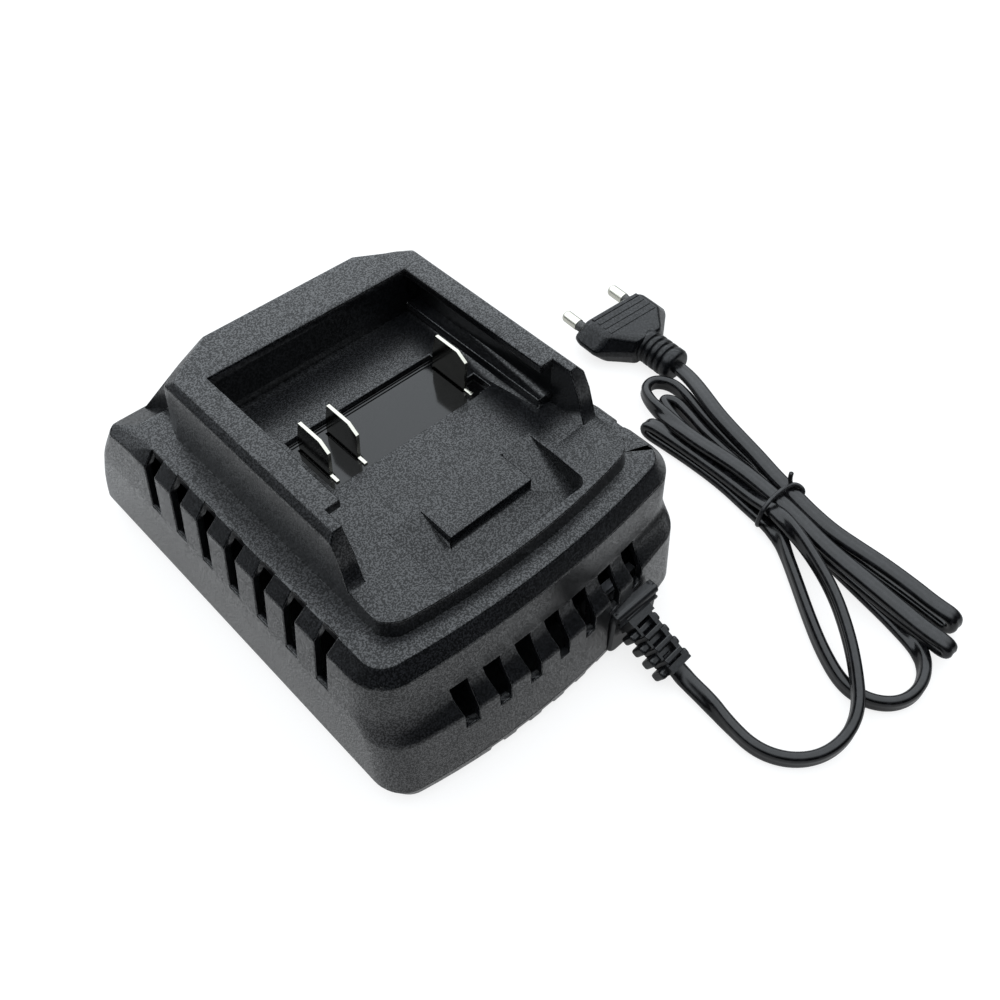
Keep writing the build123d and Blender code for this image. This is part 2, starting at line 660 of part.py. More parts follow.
# Capacitors: rolled cans with a crimped groove near the foot ----------------
for name, place, radius, height in (
    ("input_capacitor", (-26.0, -18.0), 9.0, 28.0),
    ("output_capacitor_1", (29.0, -8.0), 5.0, 20.0),
    ("output_capacitor_2", (29.0, 6.0), 5.0, 20.0),
):
    with BuildPart() as can:
        foot_centre = (place[0], place[1], BOARD_TOP)
        with BuildSketch(Plane(origin=foot_centre, x_dir=(1, 0, 0), z_dir=(0, -1, 0))):
            with BuildLine():
                Polyline(
                    (0, 0),
                    (radius - 0.6, 0),
                    (radius, 0.6),
                    (radius, 2.0),
                    (radius - 0.7, 2.6),
                    (radius, 3.2),
                    (radius, height - 0.8),
                    (radius - 0.8, height),
                    (0, height),
                    (0, 0),
                )
            make_face()
        revolve(axis=Axis((place[0], place[1], 0), (0, 0, 1)))
    export_piece(can, name)

# Common-mode choke: a wound ring standing on the board ----------------------
with BuildPart() as mains_choke:
    with BuildSketch(Plane.XZ.offset(40.0)):
        with Locations((-4.0, BOARD_TOP + 9.0)):
            Circle(9.0)
            Circle(3.5, mode=Mode.SUBTRACT)
    extrude(amount=9.0)
    fillet(mains_choke.edges().filter_by(GeomType.CIRCLE), 1.5)
    with BuildSketch(Plane.XY.offset(BOARD_TOP)):
        with Locations((-4.0, -44.5)):
            Rectangle(12.0, 9.0)
    extrude(amount=2.5)
export_piece(mains_choke, "mains_choke")

# Plain moulded parts on the board -------------------------------------------
for name, place, size in (
    ("interference_capacitor", (14.0, -38.0), (14.0, 8.0, 14.0)),
    ("bridge_rectifier", (-27.0, -38.0), (16.0, 4.5, 15.0)),
    ("optocoupler", (20.0, 27.0), (9.0, 6.5, 3.6)),
    ("control_chip", (-10.0, 30.0), (10.0, 4.0, 1.8)),
    ("switching_transistor", (-30.2, 8.0), (4.6, 10.2, 15.0)),
):
    with BuildPart() as moulding:
        with BuildSketch(Plane.XY.offset(BOARD_TOP)):
            with Locations(place):
                Rectangle(size[0], size[1])
        extrude(amount=size[2])
        chamfer(moulding.edges().group_by(Axis.Z)[-1], 0.4)
    export_piece(moulding, name)

with BuildPart() as heat_sink:
    with BuildSketch(Plane.XY.offset(BOARD_TOP)):
        with Locations((-34.5, 8.0)):
            Rectangle(4.0, 34.0)
            with GridLocations(0, 6.8, 1, 5):
                Rectangle(2.6, 2.0, align=(Align.MAX, Align.CENTER), mode=Mode.SUBTRACT)
    extrude(amount=24.0)
export_piece(heat_sink, "heat_sink")

with BuildPart() as mains_fuse:
    with BuildSketch(Plane.XZ.offset(42.0)):
        with Locations((29.0, BOARD_TOP + 3.2)):
            Circle(2.6)
    extrude(amount=-20.0)
    for cap_y in (42.0, 27.0):
        with BuildSketch(Plane.XZ.offset(cap_y)):
            with Locations((29.0, BOARD_TOP + 3.2)):
                Rectangle(6.4, 6.4)
        extrude(amount=-5.0)
export_piece(mains_fuse, "mains_fuse")

# Charge indicators: two lamps on the board, each behind a clear window ------
for name, lamp_x in INDICATORS:
    with BuildPart() as lamp:
        with BuildSketch(Plane.XZ.offset(-48.0)):
            with Locations((lamp_x, LAMP_Z)):
                Circle(2.5)
        extrude(amount=-6.0)
        with BuildSketch(Plane.XY.offset(BOARD_TOP)):
            with Locations((lamp_x, 50.0)):
                Rectangle(4.0, 3.0)
        extrude(amount=5.0)
    export_piece(lamp, f"lamp_{name}")
    with BuildPart() as window:
        with BuildSketch(Plane.XZ.offset(-54.2)):
            with Locations((lamp_x, LAMP_Z)):
                Circle(WINDOW_RADIUS)
        extrude(amount=-17.2)
        fillet(window.edges().sort_by(Axis.Y)[-1], 0.8)
    export_piece(window, f"window_{name}")

# Contact leads: from a header on the board up to the tails of the blades ----
HEADER_Y = 42.0
HEADER_TOP = BOARD_TOP + 9.0
with BuildPart() as lead_header:
    with BuildSketch(Plane.XY.offset(BOARD_TOP)):
        with Locations((0, HEADER_Y)):
            Rectangle(20.0, 7.0)
    extrude(amount=HEADER_TOP - BOARD_TOP)
export_piece(lead_header, "lead_header")

LEAD_RADIUS = 0.9
LEAD_BEND = 4.0
for number, (name, blade_x, blade_top) in enumerate(BLADES):
    header_x = -6.0 + 6.0 * number
    with BuildPart() as contact_lead:
        with BuildLine() as lead_path:
            FilletPolyline(
                (header_x, HEADER_Y, HEADER_TOP),
                (header_x, HEADER_Y, HEADER_TOP + 12.0),
                (blade_x, 0.0, BLADE_TAIL - 7.0),
                (blade_x, 0.0, BLADE_TAIL),
                radius=LEAD_BEND,
            )
        with BuildSketch(Plane(origin=lead_path.line @ 0, z_dir=lead_path.line % 0)):
            Circle(LEAD_RADIUS)
        sweep()
    export_piece(contact_lead, name.replace("contact", "lead"))

# Cord gland and strain relief, one moulding ---------------------------------
# A plate seated on the front wall, a neck through the wall, a tail that is
# clamped inside, and outside a boot of three windowed lugs and an end ring.
BOOT_DROOP = 26.7        # degrees that the boot leans down
BOOT_LENGTH = 18.3
BOOT_TURN = 2.5          # degrees that it leans to the right
PLATE_THICKNESS = 3.0
GLAND_BARS = (           # top, height, half width and depth from the wall
    (21.0, 3.8, 8.8, 4.8),
    (17.0, 2.4, 7.6, 4.2),
)
LUG_STARTS = (2.4, 6.6, 10.8)
LUG_RADII = (5.2, 5.1, 4.9)
LUG_THICKNESS = 2.6
END_RING_START = 15.2
END_RING_RADIUS = 4.6
CORD_DIAMETER = 5.6      # the flat twin cord's width
CORD_RADIUS = CORD_DIAMETER / 2

boot_forward = (
    math.sin(math.radians(BOOT_TURN)) * math.cos(math.radians(BOOT_DROOP)),
    -math.cos(math.radians(BOOT_TURN)) * math.cos(math.radians(BOOT_DROOP)),
    -math.sin(math.radians(BOOT_DROOP)),
)
boot_root = (GLAND_X, GLAND_SEAT_Y - PLATE_THICKNESS, GLAND_Z)
boot_end = tuple(root + BOOT_LENGTH * step for root, step in zip(boot_root, boot_forward))
boot_touch = tuple(end + 4.6 * step for end, step in zip(boot_end, boot_forward))
boot_plane = Plane(origin=boot_root, x_dir=(1, 0, 0), z_dir=boot_forward)

with BuildPart() as cord_gland:
    with BuildSketch(Plane.XZ.offset(-GLAND_SEAT_Y)):
        with Locations((GLAND_X, (GLAND_TOP + GLAND_BOTTOM) / 2)):
            RectangleRounded(2 * GLAND_HALF_WIDTH, GLAND_TOP - GLAND_BOTTOM, GLAND_CORNER)
    extrude(amount=PLATE_THICKNESS)
    fillet(cord_gland.faces().sort_by(Axis.Y)[0].edges(), 1.2)
    # A thick bar across the top of the plate and a thinner ledge under it
    for bar_top, bar_height, bar_half_width, bar_depth in GLAND_BARS:
        with BuildSketch(Plane.XZ.offset(-GLAND_SEAT_Y)):
            with Locations((GLAND_X, bar_top - bar_height / 2)):
                RectangleRounded(2 * bar_half_width, bar_height, bar_height / 3)
        extrude(amount=bar_depth)
    with BuildSketch(Plane.XZ.offset(-GLAND_SEAT_Y)):
        with Locations((GLAND_X, GLAND_Z)):
            Circle(GLAND_HOLE_RADIUS - 0.1)
    extrude(amount=-8.0)
    with BuildSketch(Plane.XZ.offset(-GLAND_SEAT_Y - 5.0)):
        with Locations((GLAND_X, GLAND_Z)):
            RectangleRounded(14.0, 13.0, 3.0)
    extrude(amount=-3.0)
    with BuildSketch(boot_plane.offset(-2.0)):
        Circle(4.0)
    with BuildSketch(boot_plane.offset(BOOT_LENGTH - 1.0)):
        Circle(3.7)
    loft()
    for start, radius in zip(LUG_STARTS, LUG_RADII):
        with BuildSketch(boot_plane.offset(start)):
            RectangleRounded(2 * radius, 1.6 * radius, 2.0)
        extrude(amount=LUG_THICKNESS)
    with BuildSketch(boot_plane.offset(END_RING_START)):
        Circle(END_RING_RADIUS)
    extrude(amount=BOOT_LENGTH - END_RING_START)
export_piece(cord_gland, "cord_gland")

# Cord clamp: a bar screwed down over the gland's tail -----------------------
with BuildPart() as cord_clamp:
    with BuildSketch(Plane.XY.offset(GLAND_Z + 6.5)):
        with Locations((GLAND_X, -66.4)):
            Rectangle(16.0, 2.6)
    extrude(amount=2.0)
    for side in (-1, 1):
        with BuildSketch(Plane.XY.offset(BASE_FLOOR)):
            with Locations((GLAND_X + side * 7.5, -66.4)):
                Rectangle(1.0, 2.6, align=(Align.MIN if side > 0 else Align.MAX, Align.CENTER))
        extrude(amount=GLAND_Z + 6.5 - BASE_FLOOR)
export_piece(cord_clamp, "cord_clamp")


# Mains lead -----------------------------------------------------------------
def arc_radii(points):
    """One radius for each corner: 0.45 of the shorter run over tan(half the turn)."""
    radii = []
    for before, corner, after in zip(points, points[1:], points[2:]):
        first = Vector(*corner) - Vector(*before)
        second = Vector(*after) - Vector(*corner)
        half_turn = math.radians(first.get_angle(second)) / 2
        radii.append(0.45 * min(first.length, second.length) / math.tan(half_turn))
    return radii


def cord_tube(points, name):
    """A plain round tube along straight runs joined by tangent arcs."""
    radii = arc_radii(points)
    with BuildPart() as tube:
        with BuildLine() as path:
            FilletPolyline(*points, radius=radii)
        with BuildSketch(Plane(origin=path.line @ 0, z_dir=path.line % 0)):
            Circle(CORD_RADIUS)
        sweep()
    length = path.wires()[0].length
    expected = math.pi * CORD_RADIUS**2 * length
    print(name, "length", round(length, 1), "volume", round(tube.part.volume),
          "expected", round(expected), "radii", [round(radius, 1) for radius in radii])
    return tube


# From the boot round the open loop, over the spare turn, to the tie
CORD_ROUTE = [
    boot_end,
    boot_touch,
    (28.3, -104.5, 2.85),
    (26.7, -113.5, 2.85),
    (26.1, -122.9, 2.85),
    (30.0, -130.9, 2.85),
    (37.1, -136.3, 3.1),
    (45.8, -138.0, 4.6),
    (54.4, -135.6, 6.9),
    (62.3, -128.7, 8.6),
    (70.8, -120.3, 8.7),
    (79.9, -110.6, 8.7),
    (86.8, -98.6, 8.9),
    (91.2, -88.2, 9.4),
    (94.2, -79.8, 9.0),
]
# From the tie, under the lead, round to the end of the hank
TURN_ROUTE = [
    (90.2, -83.4, 3.8),
    (86.2, -88.8, 3.5),
    (80.6, -96.8, 2.95),
    (72.5, -107.3, 2.85),
    (66.0, -117.0, 2.85),
    (60.4, -127.4, 2.85),
    (60.9, -134.6, 2.85),
    (65.2, -140.5, 2.85),
    (71.8, -143.3, 2.85),
    (79.0, -142.2, 2.9),
    (87.8, -135.4, 3.3),
]
# From the tie along the top of the hank to the neck of the plug
PLUG_ROUTE = [
    (98.2, -75.0, 9.6),
    (103.8, -65.2, 10.6),
    (111.0, -51.6, 10.6),
    (117.3, -38.0, 9.2),
    (121.9, -23.6, 6.4),
    (122.4, -13.6, 6.4),
]
mains_cord = cord_tube(CORD_ROUTE, "mains_cord")
export_piece(mains_cord, "mains_cord")
spare_turn = cord_tube(TURN_ROUTE, "spare_turn")
export_piece(spare_turn, "spare_turn")
plug_lead = cord_tube(PLUG_ROUTE, "plug_lead")
export_piece(plug_lead, "plug_lead")

# Hank: the outer shape of the folded bundle, waisted under its tie ----------
HANK_HEIGHT = 11.0
TIE_X = 97.3
TIE_Y = -78.0
TIE_WIDTH = 1.6
TIE_SPAN = 17.6
with BuildPart() as twist_tie:
    with BuildSketch(Plane.XZ.offset(-TIE_Y - TIE_WIDTH / 2)):
        with Locations((TIE_X, (HANK_HEIGHT + TIE_WIDTH) / 2)):
            RectangleRounded(TIE_SPAN, HANK_HEIGHT + TIE_WIDTH, 4.0)
            RectangleRounded(TIE_SPAN - 2 * TIE_WIDTH, HANK_HEIGHT - TIE_WIDTH, 3.0, mode=Mode.SUBTRACT)
    extrude(amount=TIE_WIDTH)
    with BuildSketch(Plane.XY.offset(HANK_HEIGHT + TIE_WIDTH / 2)):
        with Locations((TIE_X + 5.2, TIE_Y)):
            Circle(TIE_WIDTH / 2)
    extrude(amount=6.0)
with BuildPart() as cord_hank:
    with BuildSketch():
        with BuildLine():
            Polyline(
                (92.6, -24.0),
                (91.2, -33.0),
                (92.6, -50.0),
                (91.8, -66.0),
                (88.9, -76.0),
                (88.9, -80.5),
                (89.6, -84.2),
                (96.0, -88.0),
                (92.8, -98.0),
                (89.6, -120.0),
                (87.0, -138.0),
                (90.0, -142.2),
                (95.0, -141.8),
                (103.0, -138.0),
                (107.2, -131.0),
                (107.6, -108.0),
                (105.6, -86.0),
                (105.6, -76.0),
                (98.0, -72.0),
                (104.4, -56.0),
                (111.6, -40.0),
                (114.6, -24.0),
                (111.5, -12.0),
                (105.5, -13.0),
                close=True,
            )
        make_face()
    extrude(amount=HANK_HEIGHT)
    add(twist_tie.part, mode=Mode.SUBTRACT)
export_piece(twist_tie, "twist_tie")
export_piece(cord_hank, "cord_hank")

# Two-pin plug, lying on the table -------------------------------------------
PLUG_HALF_HEIGHT = 6.4
PLUG_TURN = -3.0         # degrees about the vertical
PLUG_HALF_WIDTH = 19.2
PLUG_FLAT_HALF = 12.8
PLUG_FACE = 20.6
PLUG_SHOULDER = 8.0
PLUG_FACE_HALF_HEIGHT = 3.9
NECK_RADIUS = 6.1
NECK_END = -15.0
PIN_SPACING = 23.5
PIN_RADIUS = 2.2
PIN_LENGTH = 10.5
SLEEVE_LENGTH = 3.0
plug_forward = (-math.sin(math.radians(PLUG_TURN)), math.cos(math.radians(PLUG_TURN)), 0)
plug_plane = Plane(
    origin=(123.2, 1.4, PLUG_HALF_HEIGHT),
    x_dir=(plug_forward[1], -plug_forward[0], 0),
    z_dir=plug_forward,
)


def plug_section(distance, half_width, flat_half, half_height):
    """Six-sided section of the plug, square to its axis."""
    with BuildSketch(plug_plane.offset(distance)) as section:
        Polygon(
            (-half_width, 0),
            (-flat_half, -half_height),
            (flat_half, -half_height),
            (half_width, 0),
            (flat_half, half_height),
            (-flat_half, half_height),
            align=None,
        )
    return section.sketch


with BuildPart() as plug_body:
    loft(
        [
            plug_section(-1.0, 7.4, 5.4, PLUG_HALF_HEIGHT - 0.5),
            plug_section(PLUG_SHOULDER, PLUG_HALF_WIDTH, PLUG_FLAT_HALF, PLUG_HALF_HEIGHT),
            plug_section(PLUG_FACE - 3.0, PLUG_HALF_WIDTH, PLUG_FLAT_HALF, PLUG_HALF_HEIGHT),
            plug_section(PLUG_FACE, PLUG_HALF_WIDTH - 1.8, PLUG_FLAT_HALF - 1.4, PLUG_FACE_HALF_HEIGHT),
        ],
        ruled=True,
    )
    with BuildSketch(plug_plane.offset(NECK_END)):
        Circle(NECK_RADIUS)
    extrude(amount=-NECK_END + 1.0)
    fillet(plug_body.faces().sort_by(Axis.Y)[0].edges(), 1.5)
    for groove in range(4):
        with BuildSketch(plug_plane.offset(-2.0 - 2.7 * groove)):
            Circle(NECK_RADIUS + 1.0)
            Circle(NECK_RADIUS - 0.9, mode=Mode.SUBTRACT)
        extrude(amount=-0.9, mode=Mode.SUBTRACT)
export_piece(plug_body, "plug_body")
for number, side in enumerate((-1, 1), start=1):
    with BuildPart() as pin_sleeve:
        with BuildSketch(plug_plane.offset(PLUG_FACE)):
            with Locations((side * PIN_SPACING / 2, 0)):
                Circle(PIN_RADIUS - 0.2)
        extrude(amount=SLEEVE_LENGTH)
    export_piece(pin_sleeve, f"pin_sleeve_{number}")
    with BuildPart() as plug_pin:
        with BuildSketch(plug_plane.offset(PLUG_FACE + SLEEVE_LENGTH)):
            with Locations((side * PIN_SPACING / 2, 0)):
                Circle(PIN_RADIUS)
        extrude(amount=PIN_LENGTH - SLEEVE_LENGTH)
        fillet(plug_pin.edges().sort_by(Axis.Y)[-1], 1.5)
    export_piece(plug_pin, f"plug_pin_{number}")
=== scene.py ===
# Power tool battery charger with its bundled mains lead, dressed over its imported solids.
# Metres, +Z up, the pack slides in along +Y and the lead leaves the front, which faces -Y.
import math

import bmesh
import bpy
from mathutils import Matrix, Vector


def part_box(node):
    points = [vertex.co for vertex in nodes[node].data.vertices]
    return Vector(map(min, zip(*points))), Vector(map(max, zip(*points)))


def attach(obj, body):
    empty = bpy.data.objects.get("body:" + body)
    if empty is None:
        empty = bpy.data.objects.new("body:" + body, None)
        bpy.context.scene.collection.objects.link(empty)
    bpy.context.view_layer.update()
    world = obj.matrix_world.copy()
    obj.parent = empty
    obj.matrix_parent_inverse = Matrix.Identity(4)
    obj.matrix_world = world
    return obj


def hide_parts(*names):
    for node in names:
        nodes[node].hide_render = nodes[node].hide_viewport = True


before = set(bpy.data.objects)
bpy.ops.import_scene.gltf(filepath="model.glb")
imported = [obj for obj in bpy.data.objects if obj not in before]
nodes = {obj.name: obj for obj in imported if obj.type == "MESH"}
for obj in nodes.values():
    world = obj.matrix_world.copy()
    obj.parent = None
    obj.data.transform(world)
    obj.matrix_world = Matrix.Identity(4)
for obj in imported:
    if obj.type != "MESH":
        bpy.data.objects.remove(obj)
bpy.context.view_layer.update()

MM = 0.001
scene = bpy.context.scene

# ---------------------------------------------------------------------------
# Camera: a hand-held view from above the front left corner, a little tilted.
# ---------------------------------------------------------------------------
camera_turn = math.radians(45.26)
camera_dip = math.radians(50.55)
camera_roll = math.radians(1.99)
sight = Vector((
    math.sin(camera_turn) * math.cos(camera_dip),
    math.cos(camera_turn) * math.cos(camera_dip),
    -math.sin(camera_dip),
))
level = Vector((math.cos(camera_turn), -math.sin(camera_turn), 0))
upward = level.cross(sight)
across = level * math.cos(camera_roll) + upward * math.sin(camera_roll)
topward = upward * math.cos(camera_roll) - level * math.sin(camera_roll)
camera = bpy.data.objects.new("camera", bpy.data.cameras.new("camera"))
camera.data.sensor_width = 36.0
camera.data.lens = 37.57
camera.data.clip_start = 0.01
camera_place = Vector((-115.5, -162.8, 261.6)) * MM
camera.matrix_world = Matrix.Translation(camera_place) @ Matrix((
    (across.x, topward.x, -sight.x, 0),
    (across.y, topward.y, -sight.y, 0),
    (across.z, topward.z, -sight.z, 0),
    (0, 0, 0, 1),
))
scene.collection.objects.link(camera)
scene.camera = camera

# ---------------------------------------------------------------------------
# Studio: a white light table under one wide soft box overhead that leans to the
# back.  Near the horizon the room is dark, so steep faces stay deep black, and the
# camera itself sees plain white behind everything.
# ---------------------------------------------------------------------------
scene.view_settings.view_transform = "Standard"
studio = bpy.data.worlds.new("studio")
scene.world = studio
studio.use_nodes = True
sky = studio.node_tree
sky.nodes.clear()
sky_way = sky.nodes.new("ShaderNodeTexCoord")
towards_light = sky.nodes.new("ShaderNodeVectorMath")
towards_light.operation = "DOT_PRODUCT"
towards_light.inputs[1].default_value = Vector((0.10, 0.35, 0.93)).normalized()
sky_fall = sky.nodes.new("ShaderNodeMapRange")
sky_fall.inputs["From Min"].default_value = -1.0
sky_ramp = sky.nodes.new("ShaderNodeValToRGB")
sky_steps = (
    (0.0, 0.0), (0.575, 0.01), (0.65, 0.04), (0.70, 0.15),
    (0.75, 0.50), (0.80, 0.85), (0.86, 1.0), (1.0, 1.0),
)
SKY_TINT = (0.94, 1.0, 1.05)
for n, (place, grey) in enumerate(sky_steps):
    step = sky_ramp.color_ramp.elements[n] if n < 2 else sky_ramp.color_ramp.elements.new(place)
    step.position = place
    step.color = (*(grey * part for part in SKY_TINT), 1)
room = sky.nodes.new("ShaderNodeBackground")
room.inputs["Strength"].default_value = 2.0
backdrop = sky.nodes.new("ShaderNodeBackground")
backdrop.inputs["Color"].default_value = (1, 1, 1, 1)
backdrop.inputs["Strength"].default_value = 1.0
seen = sky.nodes.new("ShaderNodeLightPath")
choice = sky.nodes.new("ShaderNodeMixShader")
world_end = sky.nodes.new("ShaderNodeOutputWorld")
sky.links.new(sky_way.outputs["Generated"], towards_light.inputs[0])
sky.links.new(towards_light.outputs["Value"], sky_fall.inputs["Value"])
sky.links.new(sky_fall.outputs["Result"], sky_ramp.inputs["Fac"])
sky.links.new(sky_ramp.outputs["Color"], room.inputs["Color"])
sky.links.new(seen.outputs["Is Camera Ray"], choice.inputs["Fac"])
sky.links.new(room.outputs["Background"], choice.inputs[1])
sky.links.new(backdrop.outputs["Background"], choice.inputs[2])
sky.links.new(choice.outputs["Shader"], world_end.inputs["Surface"])

floor_mesh = bpy.data.meshes.new("floor")
floor_mesh.from_pydata([(-3, -3, 0), (3, -3, 0), (3, 3, 0), (-3, 3, 0)], [], [(0, 1, 2, 3)])
floor = bpy.data.objects.new("floor", floor_mesh)
scene.collection.objects.link(floor)
paper = bpy.data.materials.new("light_table")
paper.use_nodes = True
paper_tree = paper.node_tree
# The camera sees the table lit through; the charger mirrors its dimmer skin
paper_skins = []
for glow in (0.28, 0.80):
    skin = paper_tree.nodes.new("ShaderNodeBsdfPrincipled")
    skin.inputs["Base Color"].default_value = (0.25, 0.25, 0.25, 1)
    skin.inputs["Roughness"].default_value = 0.9
    skin.inputs["Specular IOR Level"].default_value = 0.0
    skin.inputs["Emission Color"].default_value = (1, 1, 1, 1)
    skin.inputs["Emission Strength"].default_value = glow
    paper_skins.append(skin.outputs["BSDF"])
paper_choice = paper_tree.nodes.new("ShaderNodeMixShader")
paper_ray = paper_tree.nodes.new("ShaderNodeLightPath")
paper_tree.links.new(paper_ray.outputs["Is Camera Ray"], paper_choice.inputs["Fac"])
paper_tree.links.new(paper_skins[0], paper_choice.inputs[1])
paper_tree.links.new(paper_skins[1], paper_choice.inputs[2])
paper_end = paper_tree.nodes["Material Output"]
paper_tree.links.new(paper_choice.outputs["Shader"], paper_end.inputs["Surface"])
floor_mesh.materials.append(paper)

# ---------------------------------------------------------------------------
# Casing: top housing and base cover, injection moulded in black ABS.  Outside
# it has a fine spark-eroded grain, and every edge leaves the mould rounded.
# ---------------------------------------------------------------------------
EDGE_ROUNDING = 0.45
BACK_WALL_ROUNDING = 1.2
ROUNDING_SEGMENTS = 2
SHORTEST_ROUNDED = 0.25
SHARP_FROM = math.radians(22)
CREASE_FROM = math.radians(12)
STRAIGHT_FROM = math.radians(150)
FLAT_WITHIN = math.radians(0.6)
MERGE_WITHIN = 2e-6
SHARE_OF_NEIGHBOUR = 0.45
LEAST_SHARE = 0.06


def add_node(tree, kind, feeds=None, **settings):
    """A node with its settings; each input is linked to a socket or set to a value."""
    node = tree.nodes.new(kind)
    for setting, value in settings.items():
        setattr(node, setting, value)
    for socket, value in (feeds or {}).items():
        if isinstance(value, bpy.types.NodeSocket):
            tree.links.new(value, node.inputs[socket])
        else:
            node.inputs[socket].default_value = value
    return node


def value_group(name, inputs, outputs):
    """An empty shader node group with number sockets, and its two end nodes."""
    group = bpy.data.node_groups.new(name, "ShaderNodeTree")
    for socket, value in inputs.items():
        made = group.interface.new_socket(socket, in_out="INPUT", socket_type="NodeSocketFloat")
        made.default_value = value
    for socket in outputs:
        group.interface.new_socket(socket, in_out="OUTPUT", socket_type="NodeSocketFloat")
    return group, group.nodes.new("NodeGroupInput"), group.nodes.new("NodeGroupOutput")


# Grain: the small pits of the surface, the specks they make, and a slow change of tone
grain, grain_in, grain_out = value_group(
    "moulded_grain",
    {"Grains per metre": 1500.0, "Clouds per metre": 60.0},
    ("Height", "Speck", "Cloud"),
)
grain_way = grain.nodes.new("ShaderNodeTexCoord").outputs["Object"]
pits = add_node(grain, "ShaderNodeTexNoise", {
    "Vector": grain_way, "Scale": grain_in.outputs["Grains per metre"], "Detail": 1.0, "Roughness": 0.6,
})
specks = add_node(grain, "ShaderNodeMapRange", {
    "Value": pits.outputs["Fac"], "From Min": 0.46, "From Max": 0.58,
})
clouds = add_node(grain, "ShaderNodeTexNoise", {
    "Vector": grain_way, "Scale": grain_in.outputs["Clouds per metre"], "Detail": 3.0, "Roughness": 0.6,
})
grain.links.new(pits.outputs["Fac"], grain_out.inputs["Height"])
grain.links.new(specks.outputs["Result"], grain_out.inputs["Speck"])
grain.links.new(clouds.outputs["Fac"], grain_out.inputs["Cloud"])

# Edge wear: handling polishes the rounded edges, in patches
wear, wear_in, wear_out = value_group(
    "handled_edge", {"Rub": 0.5, "Patches per metre": 90.0}, ("Mask",)
)
worn_edge = add_node(wear, "ShaderNodeAttribute", attribute_name="edge")
patches = add_node(wear, "ShaderNodeTexNoise", {
    "Vector": wear.nodes.new("ShaderNodeTexCoord").outputs["Object"],
    "Scale": wear_in.outputs["Patches per metre"],
    "Detail": 2.0,
})
in_patches = add_node(wear, "ShaderNodeMath", {
    0: worn_edge.outputs["Fac"], 1: patches.outputs["Fac"],
}, operation="MULTIPLY")
rubbed = add_node(wear, "ShaderNodeMath", {
    0: in_patches.outputs["Value"], 1: wear_in.outputs["Rub"],
}, operation="MULTIPLY")
wear.links.new(rubbed.outputs["Value"], wear_out.inputs["Mask"])


def moulded(name, dark, light, gloss, relief=0.00006, per_metre=1500.0, glint=0.0, rub=0.2):
    """Moulded plastic, rubber or lacquer: tone and gloss wander a little over fine grain."""
    material = bpy.data.materials.new(name)
    material.use_nodes = True
    tree = material.node_tree
    shader = tree.nodes["Principled BSDF"]
    texture = add_node(tree, "ShaderNodeGroup", node_tree=grain)
    texture.inputs["Grains per metre"].default_value = per_metre
    handled = add_node(tree, "ShaderNodeGroup", node_tree=wear)
    handled.inputs["Rub"].default_value = rub
    share = add_node(tree, "ShaderNodeMath", {
        0: texture.outputs["Speck"], 1: texture.outputs["Cloud"],
    }, operation="MULTIPLY")
    tone = add_node(tree, "ShaderNodeMix", {
        "Factor": share.outputs["Value"],
    }, data_type="RGBA")
    tone.inputs["A"].default_value = (*dark, 1)
    tone.inputs["B"].default_value = (*light, 1)
    tree.links.new(tone.outputs["Result"], shader.inputs["Base Color"])
    sheen = add_node(tree, "ShaderNodeMapRange", {
        "Value": texture.outputs["Cloud"],
        "From Min": 0.3, "From Max": 0.7, "To Min": gloss[0], "To Max": gloss[1],
    })
    rough = add_node(tree, "ShaderNodeMath", {
        0: sheen.outputs["Result"], 1: handled.outputs["Mask"],
    }, operation="SUBTRACT", use_clamp=True)
    tree.links.new(rough.outputs["Value"], shader.inputs["Roughness"])
    bump = add_node(tree, "ShaderNodeBump", {
        "Height": texture.outputs["Height"], "Strength": 1.0, "Distance": relief,
    })
    tree.links.new(bump.outputs["Normal"], shader.inputs["Normal"])
    if glint:
        shine = add_node(tree, "ShaderNodeMath", {
            0: texture.outputs["Speck"], 1: glint,
        }, operation="MULTIPLY")
        tree.links.new(shine.outputs["Value"], shader.inputs["Coat Weight"])
        shader.inputs["Coat Roughness"].default_value = 0.25
        shader.inputs["Coat IOR"].default_value = 1.42
    return material


def dress(piece, material):
    """Gives a piece one material in place of what it has."""
    piece.data.materials.clear()
    piece.data.materials.append(material)


def room_for_rounding(edge, radius):
    """Share of the rounding that an edge has room for between its neighbours."""
    share = 1.0
    for corner in edge.verts:
        along = edge.other_vert(corner).co - corner.co
        for neighbour in corner.link_edges:
            if neighbour is edge:
                continue
            away = neighbour.other_vert(corner).co - corner.co
            turn = along.angle(away, 0.0)
            if turn < STRAIGHT_FROM:
                share = min(share, SHARE_OF_NEIGHBOUR * away.length * math.sin(turn) / (radius * MM))
    return share


def with_rounding(name, mesh, radius, segments, method):
    """A piece from the mesh with its edges rounded, and a face mark where they are."""
    mesh.materials.clear()
    for slot in range(2):
        mesh.materials.append(None)
    mesh.polygons.foreach_set("use_smooth", [True] * len(mesh.polygons))
    piece = bpy.data.objects.new(name, mesh)
    scene.collection.objects.link(piece)
    rounding = piece.modifiers.new("rounding", "BEVEL")
    rounding.limit_method = method
    rounding.width = radius * MM
    rounding.segments = segments
    rounding.use_clamp_overlap = method == "ANGLE"
    rounding.material = 1
    flats = piece.modifiers.new("flats", "WEIGHTED_NORMAL")
    flats.keep_sharp = True
    evaluated = piece.evaluated_get(bpy.context.evaluated_depsgraph_get())
    finished = bpy.data.meshes.new_from_object(evaluated)
    piece.modifiers.clear()
    piece.data = finished
    on_edge = [float(face.material_index) for face in finished.polygons]
    finished.attributes.new("edge", "FLOAT", "FACE").data.foreach_set("value", on_edge)
    finished.polygons.foreach_set("material_index", [0] * len(on_edge))
    return piece


